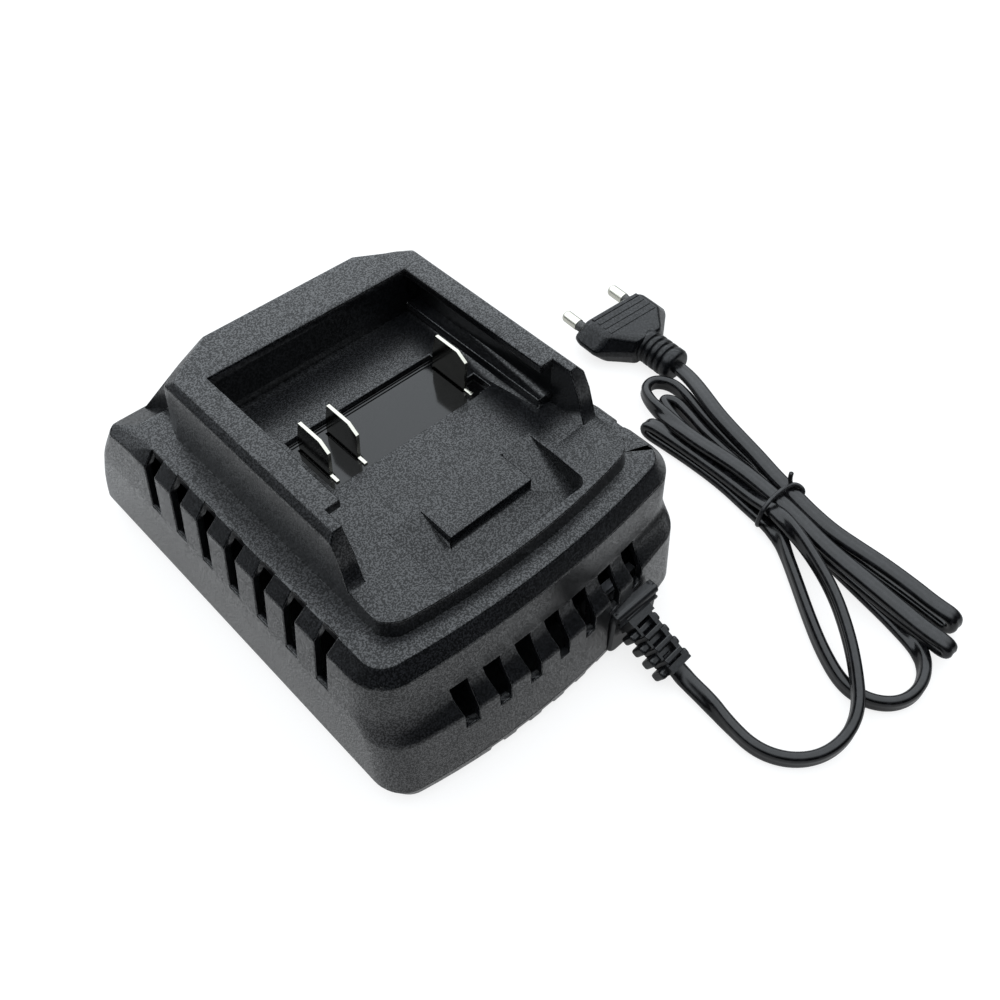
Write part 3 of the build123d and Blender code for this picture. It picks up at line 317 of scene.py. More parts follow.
def rounded_copy(name, node, radius, radius_at):
    """A merged copy of a node with its edges rounded by the radius wanted at each place."""
    mesh = bpy.data.meshes.new(name)
    skin = bmesh.new()
    skin.from_mesh(nodes[node].data)
    bmesh.ops.remove_doubles(skin, verts=skin.verts, dist=MERGE_WITHIN)
    bmesh.ops.dissolve_limit(skin, angle_limit=FLAT_WITHIN, verts=skin.verts, edges=skin.edges)
    bmesh.ops.dissolve_degenerate(skin, dist=5e-6, edges=skin.edges)
    bmesh.ops.connect_verts_concave(skin, faces=skin.faces)
    weight = skin.edges.layers.float.new("bevel_weight_edge")
    for edge in skin.edges:
        turn = edge.calc_face_angle(0.0)
        middle = (edge.verts[0].co + edge.verts[1].co) / 2 / MM
        share = 0.0
        if turn > SHARP_FROM and edge.is_convex and edge.calc_length() > SHORTEST_ROUNDED * MM:
            wanted = radius_at(middle)
            share = min(wanted / radius, room_for_rounding(edge, radius))
        edge[weight] = share if share > LEAST_SHARE else 0.0
        edge.smooth = turn < CREASE_FROM or share > LEAST_SHARE
    skin.to_mesh(mesh)
    skin.free()
    return with_rounding(name, mesh, radius, ROUNDING_SEGMENTS, "WEIGHT")


def put_on(piece, material, slot, *replaced):
    """Dresses a new piece, fixes it to the charger and hides the solids it stands for."""
    dress(piece, material)
    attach(piece, "root")
    if replaced:
        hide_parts(*replaced)


PLASTIC_IOR = 1.38
casing_black = moulded(
    "casing_black", (0.0012, 0.0014, 0.0018), (0.018, 0.019, 0.022), (0.28, 0.34),
    relief=0.00004, per_metre=2300.0, glint=1.2,
)
casing_black.node_tree.nodes["Principled BSDF"].inputs["IOR"].default_value = PLASTIC_IOR


def casing_radius(middle):
    """Rounding of a casing edge: none inside the hollow, most on the bay's back wall."""
    if middle.z > 73 and 24 < middle.y < 27:
        return BACK_WALL_ROUNDING
    outside = abs(middle.x) > 47 or middle.y < -62 or middle.y > 66 or middle.z > 49.5
    return EDGE_ROUNDING if outside else 0.0


top_shell = rounded_copy("top_shell", "top_housing", BACK_WALL_ROUNDING, casing_radius)
put_on(top_shell, casing_black, "black_housing", "top_housing")
base_shell = rounded_copy(
    "base_shell", "base_cover", EDGE_ROUNDING, lambda middle: EDGE_ROUNDING if middle.z < 5.8 else 0.0
)
put_on(base_shell, casing_black, "black_housing", "base_cover")

# ---------------------------------------------------------------------------
# Rubber feet: four moulded discs with a raised rim, pressed into seats in the
# base so that only the rim stands proud of it.
# ---------------------------------------------------------------------------
ROUND_UP_TO = math.radians(35)


def made_by_nodes(name, tree, places, sizes):
    """The mesh that a node tree makes on the given points, as a plain piece."""
    mesh = bpy.data.meshes.new(name)
    mesh.from_pydata(places, [], [])
    piece = bpy.data.objects.new(name, mesh)
    scene.collection.objects.link(piece)
    maker = piece.modifiers.new("maker", "NODES")
    maker.node_group = tree
    sockets = {
        item.name: item.identifier
        for item in tree.interface.items_tree
        if item.item_type == "SOCKET" and item.in_out == "INPUT"
    }
    for socket, value in sizes.items():
        maker[sockets[socket]] = value
    evaluated = piece.evaluated_get(bpy.context.evaluated_depsgraph_get())
    made = bpy.data.meshes.new_from_object(evaluated)
    piece.modifiers.clear()
    skin = bmesh.new()
    skin.from_mesh(made)
    bmesh.ops.remove_doubles(skin, verts=skin.verts, dist=1e-7)
    bmesh.ops.recalc_face_normals(skin, faces=skin.faces)
    for edge in skin.edges:
        edge.smooth = edge.calc_face_angle(0.0) < ROUND_UP_TO
    for face in skin.faces:
        face.smooth = True
    skin.to_mesh(made)
    skin.free()
    piece.data = made
    return piece


def shape_tree(name, sizes):
    """A geometry node tree with a point input and named sizes, and its two end nodes."""
    tree = bpy.data.node_groups.new(name, "GeometryNodeTree")
    tree.interface.new_socket("Places", in_out="INPUT", socket_type="NodeSocketGeometry")
    for socket, value in sizes.items():
        kind = "NodeSocketInt" if isinstance(value, int) else "NodeSocketFloat"
        tree.interface.new_socket(socket, in_out="INPUT", socket_type=kind).default_value = value
    tree.interface.new_socket("Shape", in_out="OUTPUT", socket_type="NodeSocketGeometry")
    return tree, tree.nodes.new("NodeGroupInput"), tree.nodes.new("NodeGroupOutput")


def finish_tree(tree, end, shape, places, material):
    """Sets the shape on every place, makes it real and gives it its material."""
    copies = add_node(tree, "GeometryNodeInstanceOnPoints", {"Points": places, "Instance": shape})
    real = add_node(tree, "GeometryNodeRealizeInstances", {"Geometry": copies.outputs["Instances"]})
    dressed = add_node(tree, "GeometryNodeSetMaterial", {
        "Geometry": real.outputs["Geometry"], "Material": material,
    })
    tree.links.new(dressed.outputs["Geometry"], end.inputs["Shape"])


def middle_of(node):
    """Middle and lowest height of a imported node, in metres."""
    low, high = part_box(node)
    return ((low[0] + high[0]) / 2, (low[1] + high[1]) / 2, low[2])


foot_rubber = moulded("foot_rubber", (0.012, 0.012, 0.012), (0.05, 0.05, 0.05), (0.75, 0.9), 0.00008)
foot_tree, foot_in, foot_out = shape_tree(
    "pressed_foot", {"Radius": 5.0 * MM, "Rim": 1.2 * MM, "Height": 1.8 * MM}
)
rim_radius = add_node(foot_tree, "ShaderNodeMath", {
    0: foot_in.outputs["Rim"], 1: 0.5,
}, operation="MULTIPLY").outputs[0]
rim_line = add_node(foot_tree, "ShaderNodeMath", {
    0: foot_in.outputs["Radius"], 1: rim_radius,
}, operation="SUBTRACT").outputs[0]
rim = add_node(foot_tree, "GeometryNodeCurveToMesh", {
    "Curve": add_node(
        foot_tree, "GeometryNodeCurvePrimitiveCircle", {"Resolution": 40, "Radius": rim_line}
    ).outputs["Curve"],
    "Profile Curve": add_node(
        foot_tree, "GeometryNodeCurvePrimitiveCircle", {"Resolution": 12, "Radius": rim_radius}
    ).outputs["Curve"],
})
rim_place = add_node(foot_tree, "ShaderNodeCombineXYZ", {"Z": rim_radius})
rim_set = add_node(foot_tree, "GeometryNodeTransform", {
    "Geometry": rim.outputs["Mesh"], "Translation": rim_place.outputs["Vector"],
})
disc = add_node(foot_tree, "GeometryNodeMeshCylinder", {
    "Vertices": 40, "Radius": rim_line, "Depth": foot_in.outputs["Rim"],
})
disc_place = add_node(foot_tree, "ShaderNodeCombineXYZ", {"Z": foot_in.outputs["Rim"]})
disc_set = add_node(foot_tree, "GeometryNodeTransform", {
    "Geometry": disc.outputs["Mesh"], "Translation": disc_place.outputs["Vector"],
})
foot_shape = foot_tree.nodes.new("GeometryNodeJoinGeometry")
for part in (rim_set, disc_set):
    foot_tree.links.new(part.outputs["Geometry"], foot_shape.inputs["Geometry"])
finish_tree(foot_tree, foot_out, foot_shape.outputs["Geometry"], foot_in.outputs["Places"], foot_rubber)
foot_nodes = [f"rubber_foot_{n}" for n in range(1, 5)]
feet = made_by_nodes("rubber_feet", foot_tree, [middle_of(node) for node in foot_nodes], {})
put_on(feet, foot_rubber, "foot_rubber", *foot_nodes)

# ---------------------------------------------------------------------------
# Screws: zinc-plated, pan head with a cross recess.  Four go up through the
# base into the posts of the housing, four hold the board down.
# ---------------------------------------------------------------------------

# Drawn or plated metal: fine lines along its length, and patches of tone
drawn, drawn_in, drawn_out = value_group(
    "drawn_metal", {"Lines per metre": 2500.0, "Stretch": 0.08}, ("Height", "Tone")
)
drawn_way = drawn.nodes.new("ShaderNodeTexCoord").outputs["Object"]
squeeze = add_node(drawn, "ShaderNodeCombineXYZ", {"X": 1.0, "Z": 1.0, "Y": drawn_in.outputs["Stretch"]})
stretched = add_node(drawn, "ShaderNodeVectorMath", {
    0: drawn_way, 1: squeeze.outputs["Vector"],
}, operation="MULTIPLY")
lines = add_node(drawn, "ShaderNodeTexNoise", {
    "Vector": stretched.outputs["Vector"], "Scale": drawn_in.outputs["Lines per metre"], "Detail": 3.0,
})
stains = add_node(drawn, "ShaderNodeTexNoise", {"Vector": drawn_way, "Scale": 220.0, "Detail": 3.0})
drawn.links.new(lines.outputs["Fac"], drawn_out.inputs["Height"])
drawn.links.new(stains.outputs["Fac"], drawn_out.inputs["Tone"])


def plated(name, bright, dull, gloss, lines_per_metre=2500.0, relief=0.000008, rub=0.1):
    """Bare or plated metal with drawing lines, stains and brighter edges."""
    material = bpy.data.materials.new(name)
    material.use_nodes = True
    tree = material.node_tree
    shader = tree.nodes["Principled BSDF"]
    shader.inputs["Metallic"].default_value = 1.0
    texture = add_node(tree, "ShaderNodeGroup", node_tree=drawn)
    texture.inputs["Lines per metre"].default_value = lines_per_metre
    handled = add_node(tree, "ShaderNodeGroup", node_tree=wear)
    handled.inputs["Rub"].default_value = rub
    tone = add_node(tree, "ShaderNodeMix", {"Factor": texture.outputs["Tone"]}, data_type="RGBA")
    tone.inputs["A"].default_value = (*bright, 1)
    tone.inputs["B"].default_value = (*dull, 1)
    tree.links.new(tone.outputs["Result"], shader.inputs["Base Color"])
    sheen = add_node(tree, "ShaderNodeMapRange", {
        "Value": texture.outputs["Tone"],
        "From Min": 0.3, "From Max": 0.7, "To Min": gloss[0], "To Max": gloss[1],
    })
    rough = add_node(tree, "ShaderNodeMath", {
        0: sheen.outputs["Result"], 1: handled.outputs["Mask"],
    }, operation="SUBTRACT", use_clamp=True)
    tree.links.new(rough.outputs["Value"], shader.inputs["Roughness"])
    bump = add_node(tree, "ShaderNodeBump", {
        "Height": texture.outputs["Height"], "Strength": 1.0, "Distance": relief,
    })
    tree.links.new(bump.outputs["Normal"], shader.inputs["Normal"])
    return material


zinc_steel = plated("zinc_steel", (0.62, 0.63, 0.66), (0.45, 0.46, 0.50), (0.28, 0.42))
screw_tree, screw_in, screw_out = shape_tree("cross_screw", {
    "Head radius": 2.8 * MM, "Head height": 1.8 * MM, "Shaft radius": 1.5 * MM,
    "Shaft length": 14.0 * MM, "Recess": 3.2 * MM, "Blade": 0.8 * MM,
})
screw_sizes = screw_in.outputs
crown = add_node(screw_tree, "ShaderNodeMath", {
    0: screw_sizes["Head radius"], 1: 0.82,
}, operation="MULTIPLY")
head = add_node(screw_tree, "GeometryNodeMeshCone", {
    "Vertices": 32, "Radius Top": crown.outputs[0], "Radius Bottom": screw_sizes["Head radius"],
    "Depth": screw_sizes["Head height"],
})
recess_depth = add_node(screw_tree, "ShaderNodeMath", {
    0: screw_sizes["Head height"], 1: 1.2,
}, operation="MULTIPLY")
cross = screw_tree.nodes.new("GeometryNodeJoinGeometry")
for long_way, short_way in (("X", "Y"), ("Y", "X")):
    bar_size = add_node(screw_tree, "ShaderNodeCombineXYZ", {
        long_way: screw_sizes["Recess"], short_way: screw_sizes["Blade"], "Z": recess_depth.outputs[0],
    })
    bar = add_node(screw_tree, "GeometryNodeMeshCube", {"Size": bar_size.outputs["Vector"]})
    bar_place = add_node(screw_tree, "ShaderNodeCombineXYZ", {"Z": screw_sizes["Head height"]})
    bar_set = add_node(screw_tree, "GeometryNodeTransform", {
        "Geometry": bar.outputs["Mesh"], "Translation": bar_place.outputs["Vector"],
    })
    screw_tree.links.new(bar_set.outputs["Geometry"], cross.inputs["Geometry"])
recessed = add_node(screw_tree, "GeometryNodeMeshBoolean", {
    "Mesh 1": head.outputs["Mesh"], "Mesh 2": cross.outputs["Geometry"],
}, operation="DIFFERENCE")
shaft = add_node(screw_tree, "GeometryNodeMeshCylinder", {
    "Vertices": 24, "Radius": screw_sizes["Shaft radius"], "Depth": screw_sizes["Shaft length"],
})
shaft_drop = add_node(screw_tree, "ShaderNodeMath", {
    0: screw_sizes["Shaft length"], 1: -0.5,
}, operation="MULTIPLY")
shaft_place = add_node(screw_tree, "ShaderNodeCombineXYZ", {"Z": shaft_drop.outputs[0]})
shaft_set = add_node(screw_tree, "GeometryNodeTransform", {
    "Geometry": shaft.outputs["Mesh"], "Translation": shaft_place.outputs["Vector"],
})
screw_shape = screw_tree.nodes.new("GeometryNodeJoinGeometry")
for part in (recessed.outputs["Mesh"], shaft_set.outputs["Geometry"]):
    screw_tree.links.new(part, screw_shape.inputs["Geometry"])
finish_tree(screw_tree, screw_out, screw_shape.outputs["Geometry"], screw_in.outputs["Places"], zinc_steel)


def screws(name, node_names, seat, sizes, from_below):
    """One set of like screws with their heads bearing at the given height over each node's foot."""
    places = [Vector(middle_of(node)) + Vector((0, 0, seat)) for node in node_names]
    turned = -1.0 if from_below else 1.0
    piece = made_by_nodes(name, screw_tree, [(p.x * turned, p.y, p.z * turned) for p in places], sizes)
    if from_below:
        piece.data.transform(Matrix.Rotation(math.pi, 4, "Y"))
    put_on(piece, zinc_steel, "zinc_steel", *node_names)


screws("housing_screws", [f"housing_screw_{n}" for n in range(1, 5)], 1.8 * MM, {}, from_below=True)
screws("board_screws", [f"board_screw_{n}" for n in range(1, 5)], 8.0 * MM, {
    "Head radius": 2.7 * MM, "Head height": 2.0 * MM, "Shaft length": 8.0 * MM,
}, from_below=False)

# ---------------------------------------------------------------------------
# Contact block and blades: a glossy black strip let into the bay floor, with
# three stamped, nickel-plated blades that stand in its slits.
# ---------------------------------------------------------------------------
gloss_black = moulded(
    "gloss_black", (0.002, 0.002, 0.0022), (0.006, 0.006, 0.0065), (0.08, 0.12), relief=0.0, rub=0.0
)
FINE_ROUNDING = 0.12
contact_strip = rounded_copy(
    "contact_strip", "terminal_block", FINE_ROUNDING, lambda middle: FINE_ROUNDING
)
put_on(contact_strip, gloss_black, "gloss_black", "terminal_block")
# The blades' flat sides get a darkened nickel as a painted reflection of the dark bay they face. Their rims
# get a bright copy as a painted highlight.
nickel = plated("nickel_plate", (0.16, 0.155, 0.14), (0.10, 0.097, 0.09), (0.12, 0.20), 3500.0)
painted_highlight_rim = plated("nickel_painted_highlight", (0.62, 0.61, 0.54), (0.52, 0.51, 0.45), (0.16, 0.24), 3500.0)
for node in ("contact_positive", "contact_sensor", "contact_negative"):
    blade = rounded_copy(
        node.replace("contact", "blade"), node, FINE_ROUNDING, lambda middle: FINE_ROUNDING
    )
    put_on(blade, nickel, "nickel_plate", node)
    blade.data.materials.append(painted_highlight_rim)
    # Sides turned across the bay keep the painted dark nickel, and all other faces take the painted
    # highlight
    for face in blade.data.polygons:
        face.material_index = int(abs(face.normal.x) < 0.9)
lead_insulation = moulded(
    "lead_insulation", (0.25, 0.012, 0.01), (0.40, 0.03, 0.02), (0.35, 0.45), 0.00001, 900.0
)
for node in ("lead_positive", "lead_sensor", "lead_negative"):
    dress(nodes[node], lead_insulation)
header_white = moulded("header_white", (0.55, 0.54, 0.48), (0.70, 0.69, 0.62), (0.35, 0.5), 0.00001)
dress(nodes["lead_header"], header_white)

# ---------------------------------------------------------------------------
# Circuit board and what is soldered to it: a glass and resin board, wound
# parts in tape and ferrite, sleeved capacitors, and chips on a heat sink.
# ---------------------------------------------------------------------------
for finish, dark, light, gloss, relief, node_names in (
    ("board_laminate", (0.02, 0.09, 0.03), (0.05, 0.17, 0.07), (0.30, 0.42), 0.00001, ("circuit_board",)),
    ("winding_tape", (0.55, 0.42, 0.05), (0.75, 0.60, 0.12), (0.30, 0.45), 0.00002,
     ("transformer_winding", "interference_capacitor")),
    ("ferrite", (0.025, 0.024, 0.023), (0.07, 0.065, 0.06), (0.55, 0.75), 0.00003,
     ("transformer_core", "mains_choke")),
    ("capacitor_sleeve", (0.010, 0.014, 0.030), (0.03, 0.04, 0.07), (0.22, 0.34), 0.00001,
     ("input_capacitor", "output_capacitor_1", "output_capacitor_2")),
    ("chip_compound", (0.012, 0.012, 0.012), (0.04, 0.04, 0.04), (0.55, 0.70), 0.00002,
     ("bridge_rectifier", "optocoupler", "control_chip", "switching_transistor")),
):
    made = moulded(finish, dark, light, gloss, relief)
    for node in node_names:
        dress(nodes[node], made)
sink_aluminium = plated("sink_aluminium", (0.60, 0.61, 0.62), (0.48, 0.49, 0.50), (0.35, 0.50), 1200.0)
dress(nodes["heat_sink"], sink_aluminium)
fuse_brass = plated("fuse_brass", (0.72, 0.62, 0.38), (0.60, 0.50, 0.28), (0.20, 0.35))
dress(nodes["mains_fuse"], fuse_brass)

# ---------------------------------------------------------------------------
# Indicator lamps and windows: two light-emitting diodes behind clear rods
# that are pressed through the back wall.
# ---------------------------------------------------------------------------
lamp_red = moulded("lamp_red", (0.40, 0.015, 0.01), (0.60, 0.04, 0.03), (0.12, 0.2), 0.0)
dress(nodes["lamp_charging"], lamp_red)
lamp_green = moulded("lamp_green", (0.03, 0.30, 0.06), (0.06, 0.45, 0.10), (0.12, 0.2), 0.0)
dress(nodes["lamp_ready"], lamp_green)
clear_window = moulded("clear_window", (0.80, 0.82, 0.84), (0.90, 0.92, 0.94), (0.06, 0.12), 0.000004)
clear_window.node_tree.nodes["Principled BSDF"].inputs["Transmission Weight"].default_value = 0.85
for node in ("window_charging", "window_ready"):
    dress(nodes[node], clear_window)

# ---------------------------------------------------------------------------
# Cord gland and clamp: a soft moulding seated on the front wall, with an open
# sleeve of cross lugs and bridges that lets the cord bend.  Clamped down inside.
# ---------------------------------------------------------------------------
soft_black = moulded("soft_black", (0.002, 0.0022, 0.0028), (0.012, 0.013, 0.016), (0.30, 0.40), 0.00003)
GLAND_ROUNDING = 0.5
PLATE_FRONT = -75.8
boot_droop, boot_lean = math.radians(26.7), math.radians(2.5)
boot_root = Vector((28.0, -75.9, 13.2)) * MM
boot_out = Vector((
    math.sin(boot_lean) * math.cos(boot_droop),
    -math.cos(boot_lean) * math.cos(boot_droop),
    -math.sin(boot_droop),
))
boot_left = Vector((-math.cos(boot_lean), -math.sin(boot_lean), 0))
boot_frame = Matrix.Translation(boot_root) @ Matrix(
    (boot_left, boot_out, boot_left.cross(boot_out))
).transposed().to_4x4()

# The seated plate with its tail: what the solid has behind the front of the plate
gland_skin = bmesh.new()
gland_skin.from_mesh(nodes["cord_gland"].data)
bmesh.ops.remove_doubles(gland_skin, verts=gland_skin.verts, dist=MERGE_WITHIN)
bmesh.ops.bisect_plane(
    gland_skin,
    geom=gland_skin.verts[:] + gland_skin.edges[:] + gland_skin.faces[:],
    plane_co=(0, PLATE_FRONT * MM, 0),
    plane_no=(0, -1, 0),
    clear_outer=True,
)
bmesh.ops.holes_fill(gland_skin, edges=gland_skin.edges[:])
bmesh.ops.dissolve_limit(
    gland_skin, angle_limit=FLAT_WITHIN, verts=gland_skin.verts, edges=gland_skin.edges
)


def add_block(skin, low, high, place=Matrix()):
    """Adds a closed block between two opposite corners, in millimetres."""
    for corner in bmesh.ops.create_cube(skin, size=1.0)["verts"]:
        share = corner.co + Vector((0.5, 0.5, 0.5))
        corner.co = place @ (Vector(a + (b - a) * t for a, b, t in zip(low, high, share)) * MM)


# Bar across the top with a ledge under it, in front of the plate
bar_back, ledge = ((20.6, -76.3, 17.2), (35.4, -74.0, 19.8)), ((20.2, -77.0, 16.6), (35.8, -74.0, 17.4))
add_block(gland_skin, *bar_back)
add_block(gland_skin, *ledge)
BAR_RADIUS, BAR_LENGTH = 1.6, 16.0
bar_middle = Vector((28.0, -75.0, 19.5)) * MM
bmesh.ops.create_cone(
    gland_skin, cap_ends=True, segments=20,
    radius1=BAR_RADIUS * MM, radius2=BAR_RADIUS * MM, depth=BAR_LENGTH * MM,
    matrix=Matrix.Translation(bar_middle) @ Matrix.Rotation(math.pi / 2, 4, "Y"),
)
# Sleeve, as opposite corners in the boot's own directions: across, outward, up
sleeve_blocks = {
    "root": ((-4.6, -2.6, -4.4), (4.6, 1.4, 4.0)),
    "core under the cord": ((-2.6, 0.0, -3.2), (2.6, 17.4, -0.8)),
    "right rail": ((-3.5, 0.0, -3.4), (-2.0, 17.4, 3.7)),
    "left rail": ((2.6, 0.0, -3.4), (3.4, 17.4, 2.4)),
    "end collar": ((-4.0, 16.0, -3.8), (4.0, 18.2, 3.8)),
}
for low, high in sleeve_blocks.values():
    add_block(gland_skin, low, high, boot_frame)
gland_mesh = bpy.data.meshes.new("gland")
gland_skin.to_mesh(gland_mesh)
gland_skin.free()
gland = with_rounding("gland", gland_mesh, GLAND_ROUNDING, 2, "ANGLE")
put_on(gland, soft_black, "soft_black", "cord_gland")

# Cross lugs and the bridges between them: two rows of like blocks along the sleeve
row_tree, row_in, row_out = shape_tree("row_of_blocks", {
    "Count": 4, "Pitch": 4.2 * MM, "Width": 10.0 * MM, "Height": 6.0 * MM, "Thickness": 2.4 * MM,
})
row_step = add_node(row_tree, "ShaderNodeCombineXYZ", {"Y": row_in.outputs["Pitch"]})
row_line = add_node(row_tree, "GeometryNodeMeshLine", {
    "Count": row_in.outputs["Count"], "Offset": row_step.outputs["Vector"],
})
block_size = add_node(row_tree, "ShaderNodeCombineXYZ", {
    "X": row_in.outputs["Width"], "Y": row_in.outputs["Thickness"], "Z": row_in.outputs["Height"],
})
block = add_node(row_tree, "GeometryNodeMeshCube", {"Size": block_size.outputs["Vector"]})
blocks = add_node(row_tree, "GeometryNodeInstanceOnPoints", {
    "Points": row_line.outputs["Mesh"], "Instance": block.outputs["Mesh"],
})
one_row = add_node(row_tree, "GeometryNodeRealizeInstances", {"Geometry": blocks.outputs["Instances"]})
finish_tree(row_tree, row_out, one_row.outputs["Geometry"], row_in.outputs["Places"], soft_black)


def row_of_blocks(name, first, sizes, rounding, place):
    """A row of rounded blocks from the middle of its first one, set into place."""
    row = made_by_nodes(name + "_row", row_tree, [[c * MM for c in first]], sizes)
    mesh = row.data.copy()
    bpy.data.objects.remove(row)
    mesh.transform(place)
    return with_rounding(name, mesh, rounding, 3, "ANGLE")


lugs = row_of_blocks("boot_lugs", (0.2, 3.7, -1.0), {
    "Pitch": 4.35 * MM, "Width": 12.0 * MM, "Height": 5.4 * MM, "Thickness": 2.7 * MM,
}, 0.8, boot_frame)
put_on(lugs, soft_black, "soft_black")
bridges = row_of_blocks("boot_bridges", (0.0, 5.95, 0.1), {
    "Count": 3, "Pitch": 4.3 * MM, "Width": 7.2 * MM, "Height": 7.4 * MM, "Thickness": 1.8 * MM,
}, 0.4, boot_frame)
put_on(bridges, soft_black, "soft_black")
dress(nodes["cord_clamp"], zinc_steel)

# ---------------------------------------------------------------------------
# Plug: a two-pin body moulded round its pins in black compound, with ridges
# across the top for the fingers and a grooved neck.
# ---------------------------------------------------------------------------
plug_compound = moulded(
    "plug_compound", (0.0015, 0.0018, 0.0024), (0.012, 0.013, 0.016), (0.32, 0.40), 0.00003, glint=0.3
)
plug_compound.node_tree.nodes["Principled BSDF"].inputs["IOR"].default_value = PLASTIC_IOR


def piece_from_rings(name, rings):
    """A closed skin over rings of equally many points."""
    count = len(rings[0])
    places = [place for ring in rings for place in ring]
    faces = []
    for row in range(len(rings) - 1):
        for n in range(count):
            m = (n + 1) % count
            low, high = row * count, (row + 1) * count
            faces.append((low + n, low + m, high + m, high + n))
    faces.append(tuple(reversed(range(count))))
    faces.append(tuple(range(len(places) - count, len(places))))
    mesh = bpy.data.meshes.new(name)
    mesh.from_pydata(places, [], faces)
    skin = bmesh.new()
    skin.from_mesh(mesh)
    bmesh.ops.recalc_face_normals(skin, faces=skin.faces)
    skin.to_mesh(mesh)
    skin.free()
    mesh.polygons.foreach_set("use_smooth", [True] * len(mesh.polygons))
    piece = bpy.data.objects.new(name, mesh)
    scene.collection.objects.link(piece)
    return piece


plug_turn = math.radians(-3.0)
plug_frame = Matrix.Translation(Vector((123.2, 1.4, 6.4)) * MM) @ Matrix.Rotation(plug_turn, 4, "Z")
# Six-sided sections: distance along the plug, half width, half of the flat, half height
plug_sections = (
    (-1.0, 7.4, 5.4, 5.9), (8.0, 19.2, 12.8, 6.4), (17.6, 19.2, 12.8, 6.4), (20.6, 17.4, 11.4, 3.9),
)
plug_rings = [
    [plug_frame @ (Vector((x, distance, z)) * MM) for x, z in (
        (-wide, 0), (-flat, -tall), (flat, -tall), (wide, 0), (flat, tall), (-flat, tall),
    )]
    for distance, wide, flat, tall in plug_sections
]
plug_block = piece_from_rings("plug_block", plug_rings)
plug_block_mesh = plug_block.data.copy()
bpy.data.objects.remove(plug_block)
plug = with_rounding("plug", plug_block_mesh, 1.6, 4, "ANGLE")
put_on(plug, plug_compound, "plug_compound", "plug_body")

# Neck: a round collar with four grooves, so that the cord can bend there
NECK_RADIUS, GROOVE_RADIUS = 6.1, 5.1
neck_profile = [(-15.0, 4.4), (-14.8, 5.2), (-14.2, 5.8), (-13.4, NECK_RADIUS)]
for groove in range(4):
    start = -11.2 + 2.7 * groove
    neck_profile += [
        (start - 0.15, NECK_RADIUS), (start, NECK_RADIUS - 0.15), (start + 0.1, GROOVE_RADIUS),
        (start + 0.9, GROOVE_RADIUS), (start + 1.0, NECK_RADIUS - 0.15), (start + 1.15, NECK_RADIUS),
    ]
neck_profile.append((1.0, NECK_RADIUS))
neck_turns = [math.radians(9 * n) for n in range(40)]
neck = piece_from_rings("plug_neck", [
    [
        plug_frame @ (Vector((
            radius * math.cos(turn), distance, radius * math.sin(turn),
        )) * MM)
        for turn in neck_turns
    ]
    for distance, radius in neck_profile
])
put_on(neck, plug_compound, "plug_compound")
ridges = row_of_blocks("plug_ridges", (0.0, 8.6, 6.25), {
    "Pitch": 2.9 * MM, "Width": 23.0 * MM, "Height": 0.8 * MM, "Thickness": 1.7 * MM,
}, 0.38, plug_frame)
put_on(ridges, plug_compound, "plug_compound")
pin_metal = plated("pin_metal", (0.80, 0.79, 0.70), (0.70, 0.69, 0.60), (0.25, 0.38))
sleeve_compound = moulded("sleeve_compound", (0.03, 0.03, 0.03), (0.10, 0.10, 0.09), (0.40, 0.50), 0.0)
for n in (1, 2):
    dress(nodes[f"plug_pin_{n}"], pin_metal)
    dress(nodes[f"pin_sleeve_{n}"], sleeve_compound)

# ---------------------------------------------------------------------------
# Mains lead: one flat two-core cord in glossy black PVC.  It leaves the boot,
# makes an open loop, is folded into a hank of seven strands under a twist tie,
# dips out once in a spare turn and ends in the plug.
# ---------------------------------------------------------------------------
CORD_WIDTH = 5.6
CORD_THICKNESS = 3.4
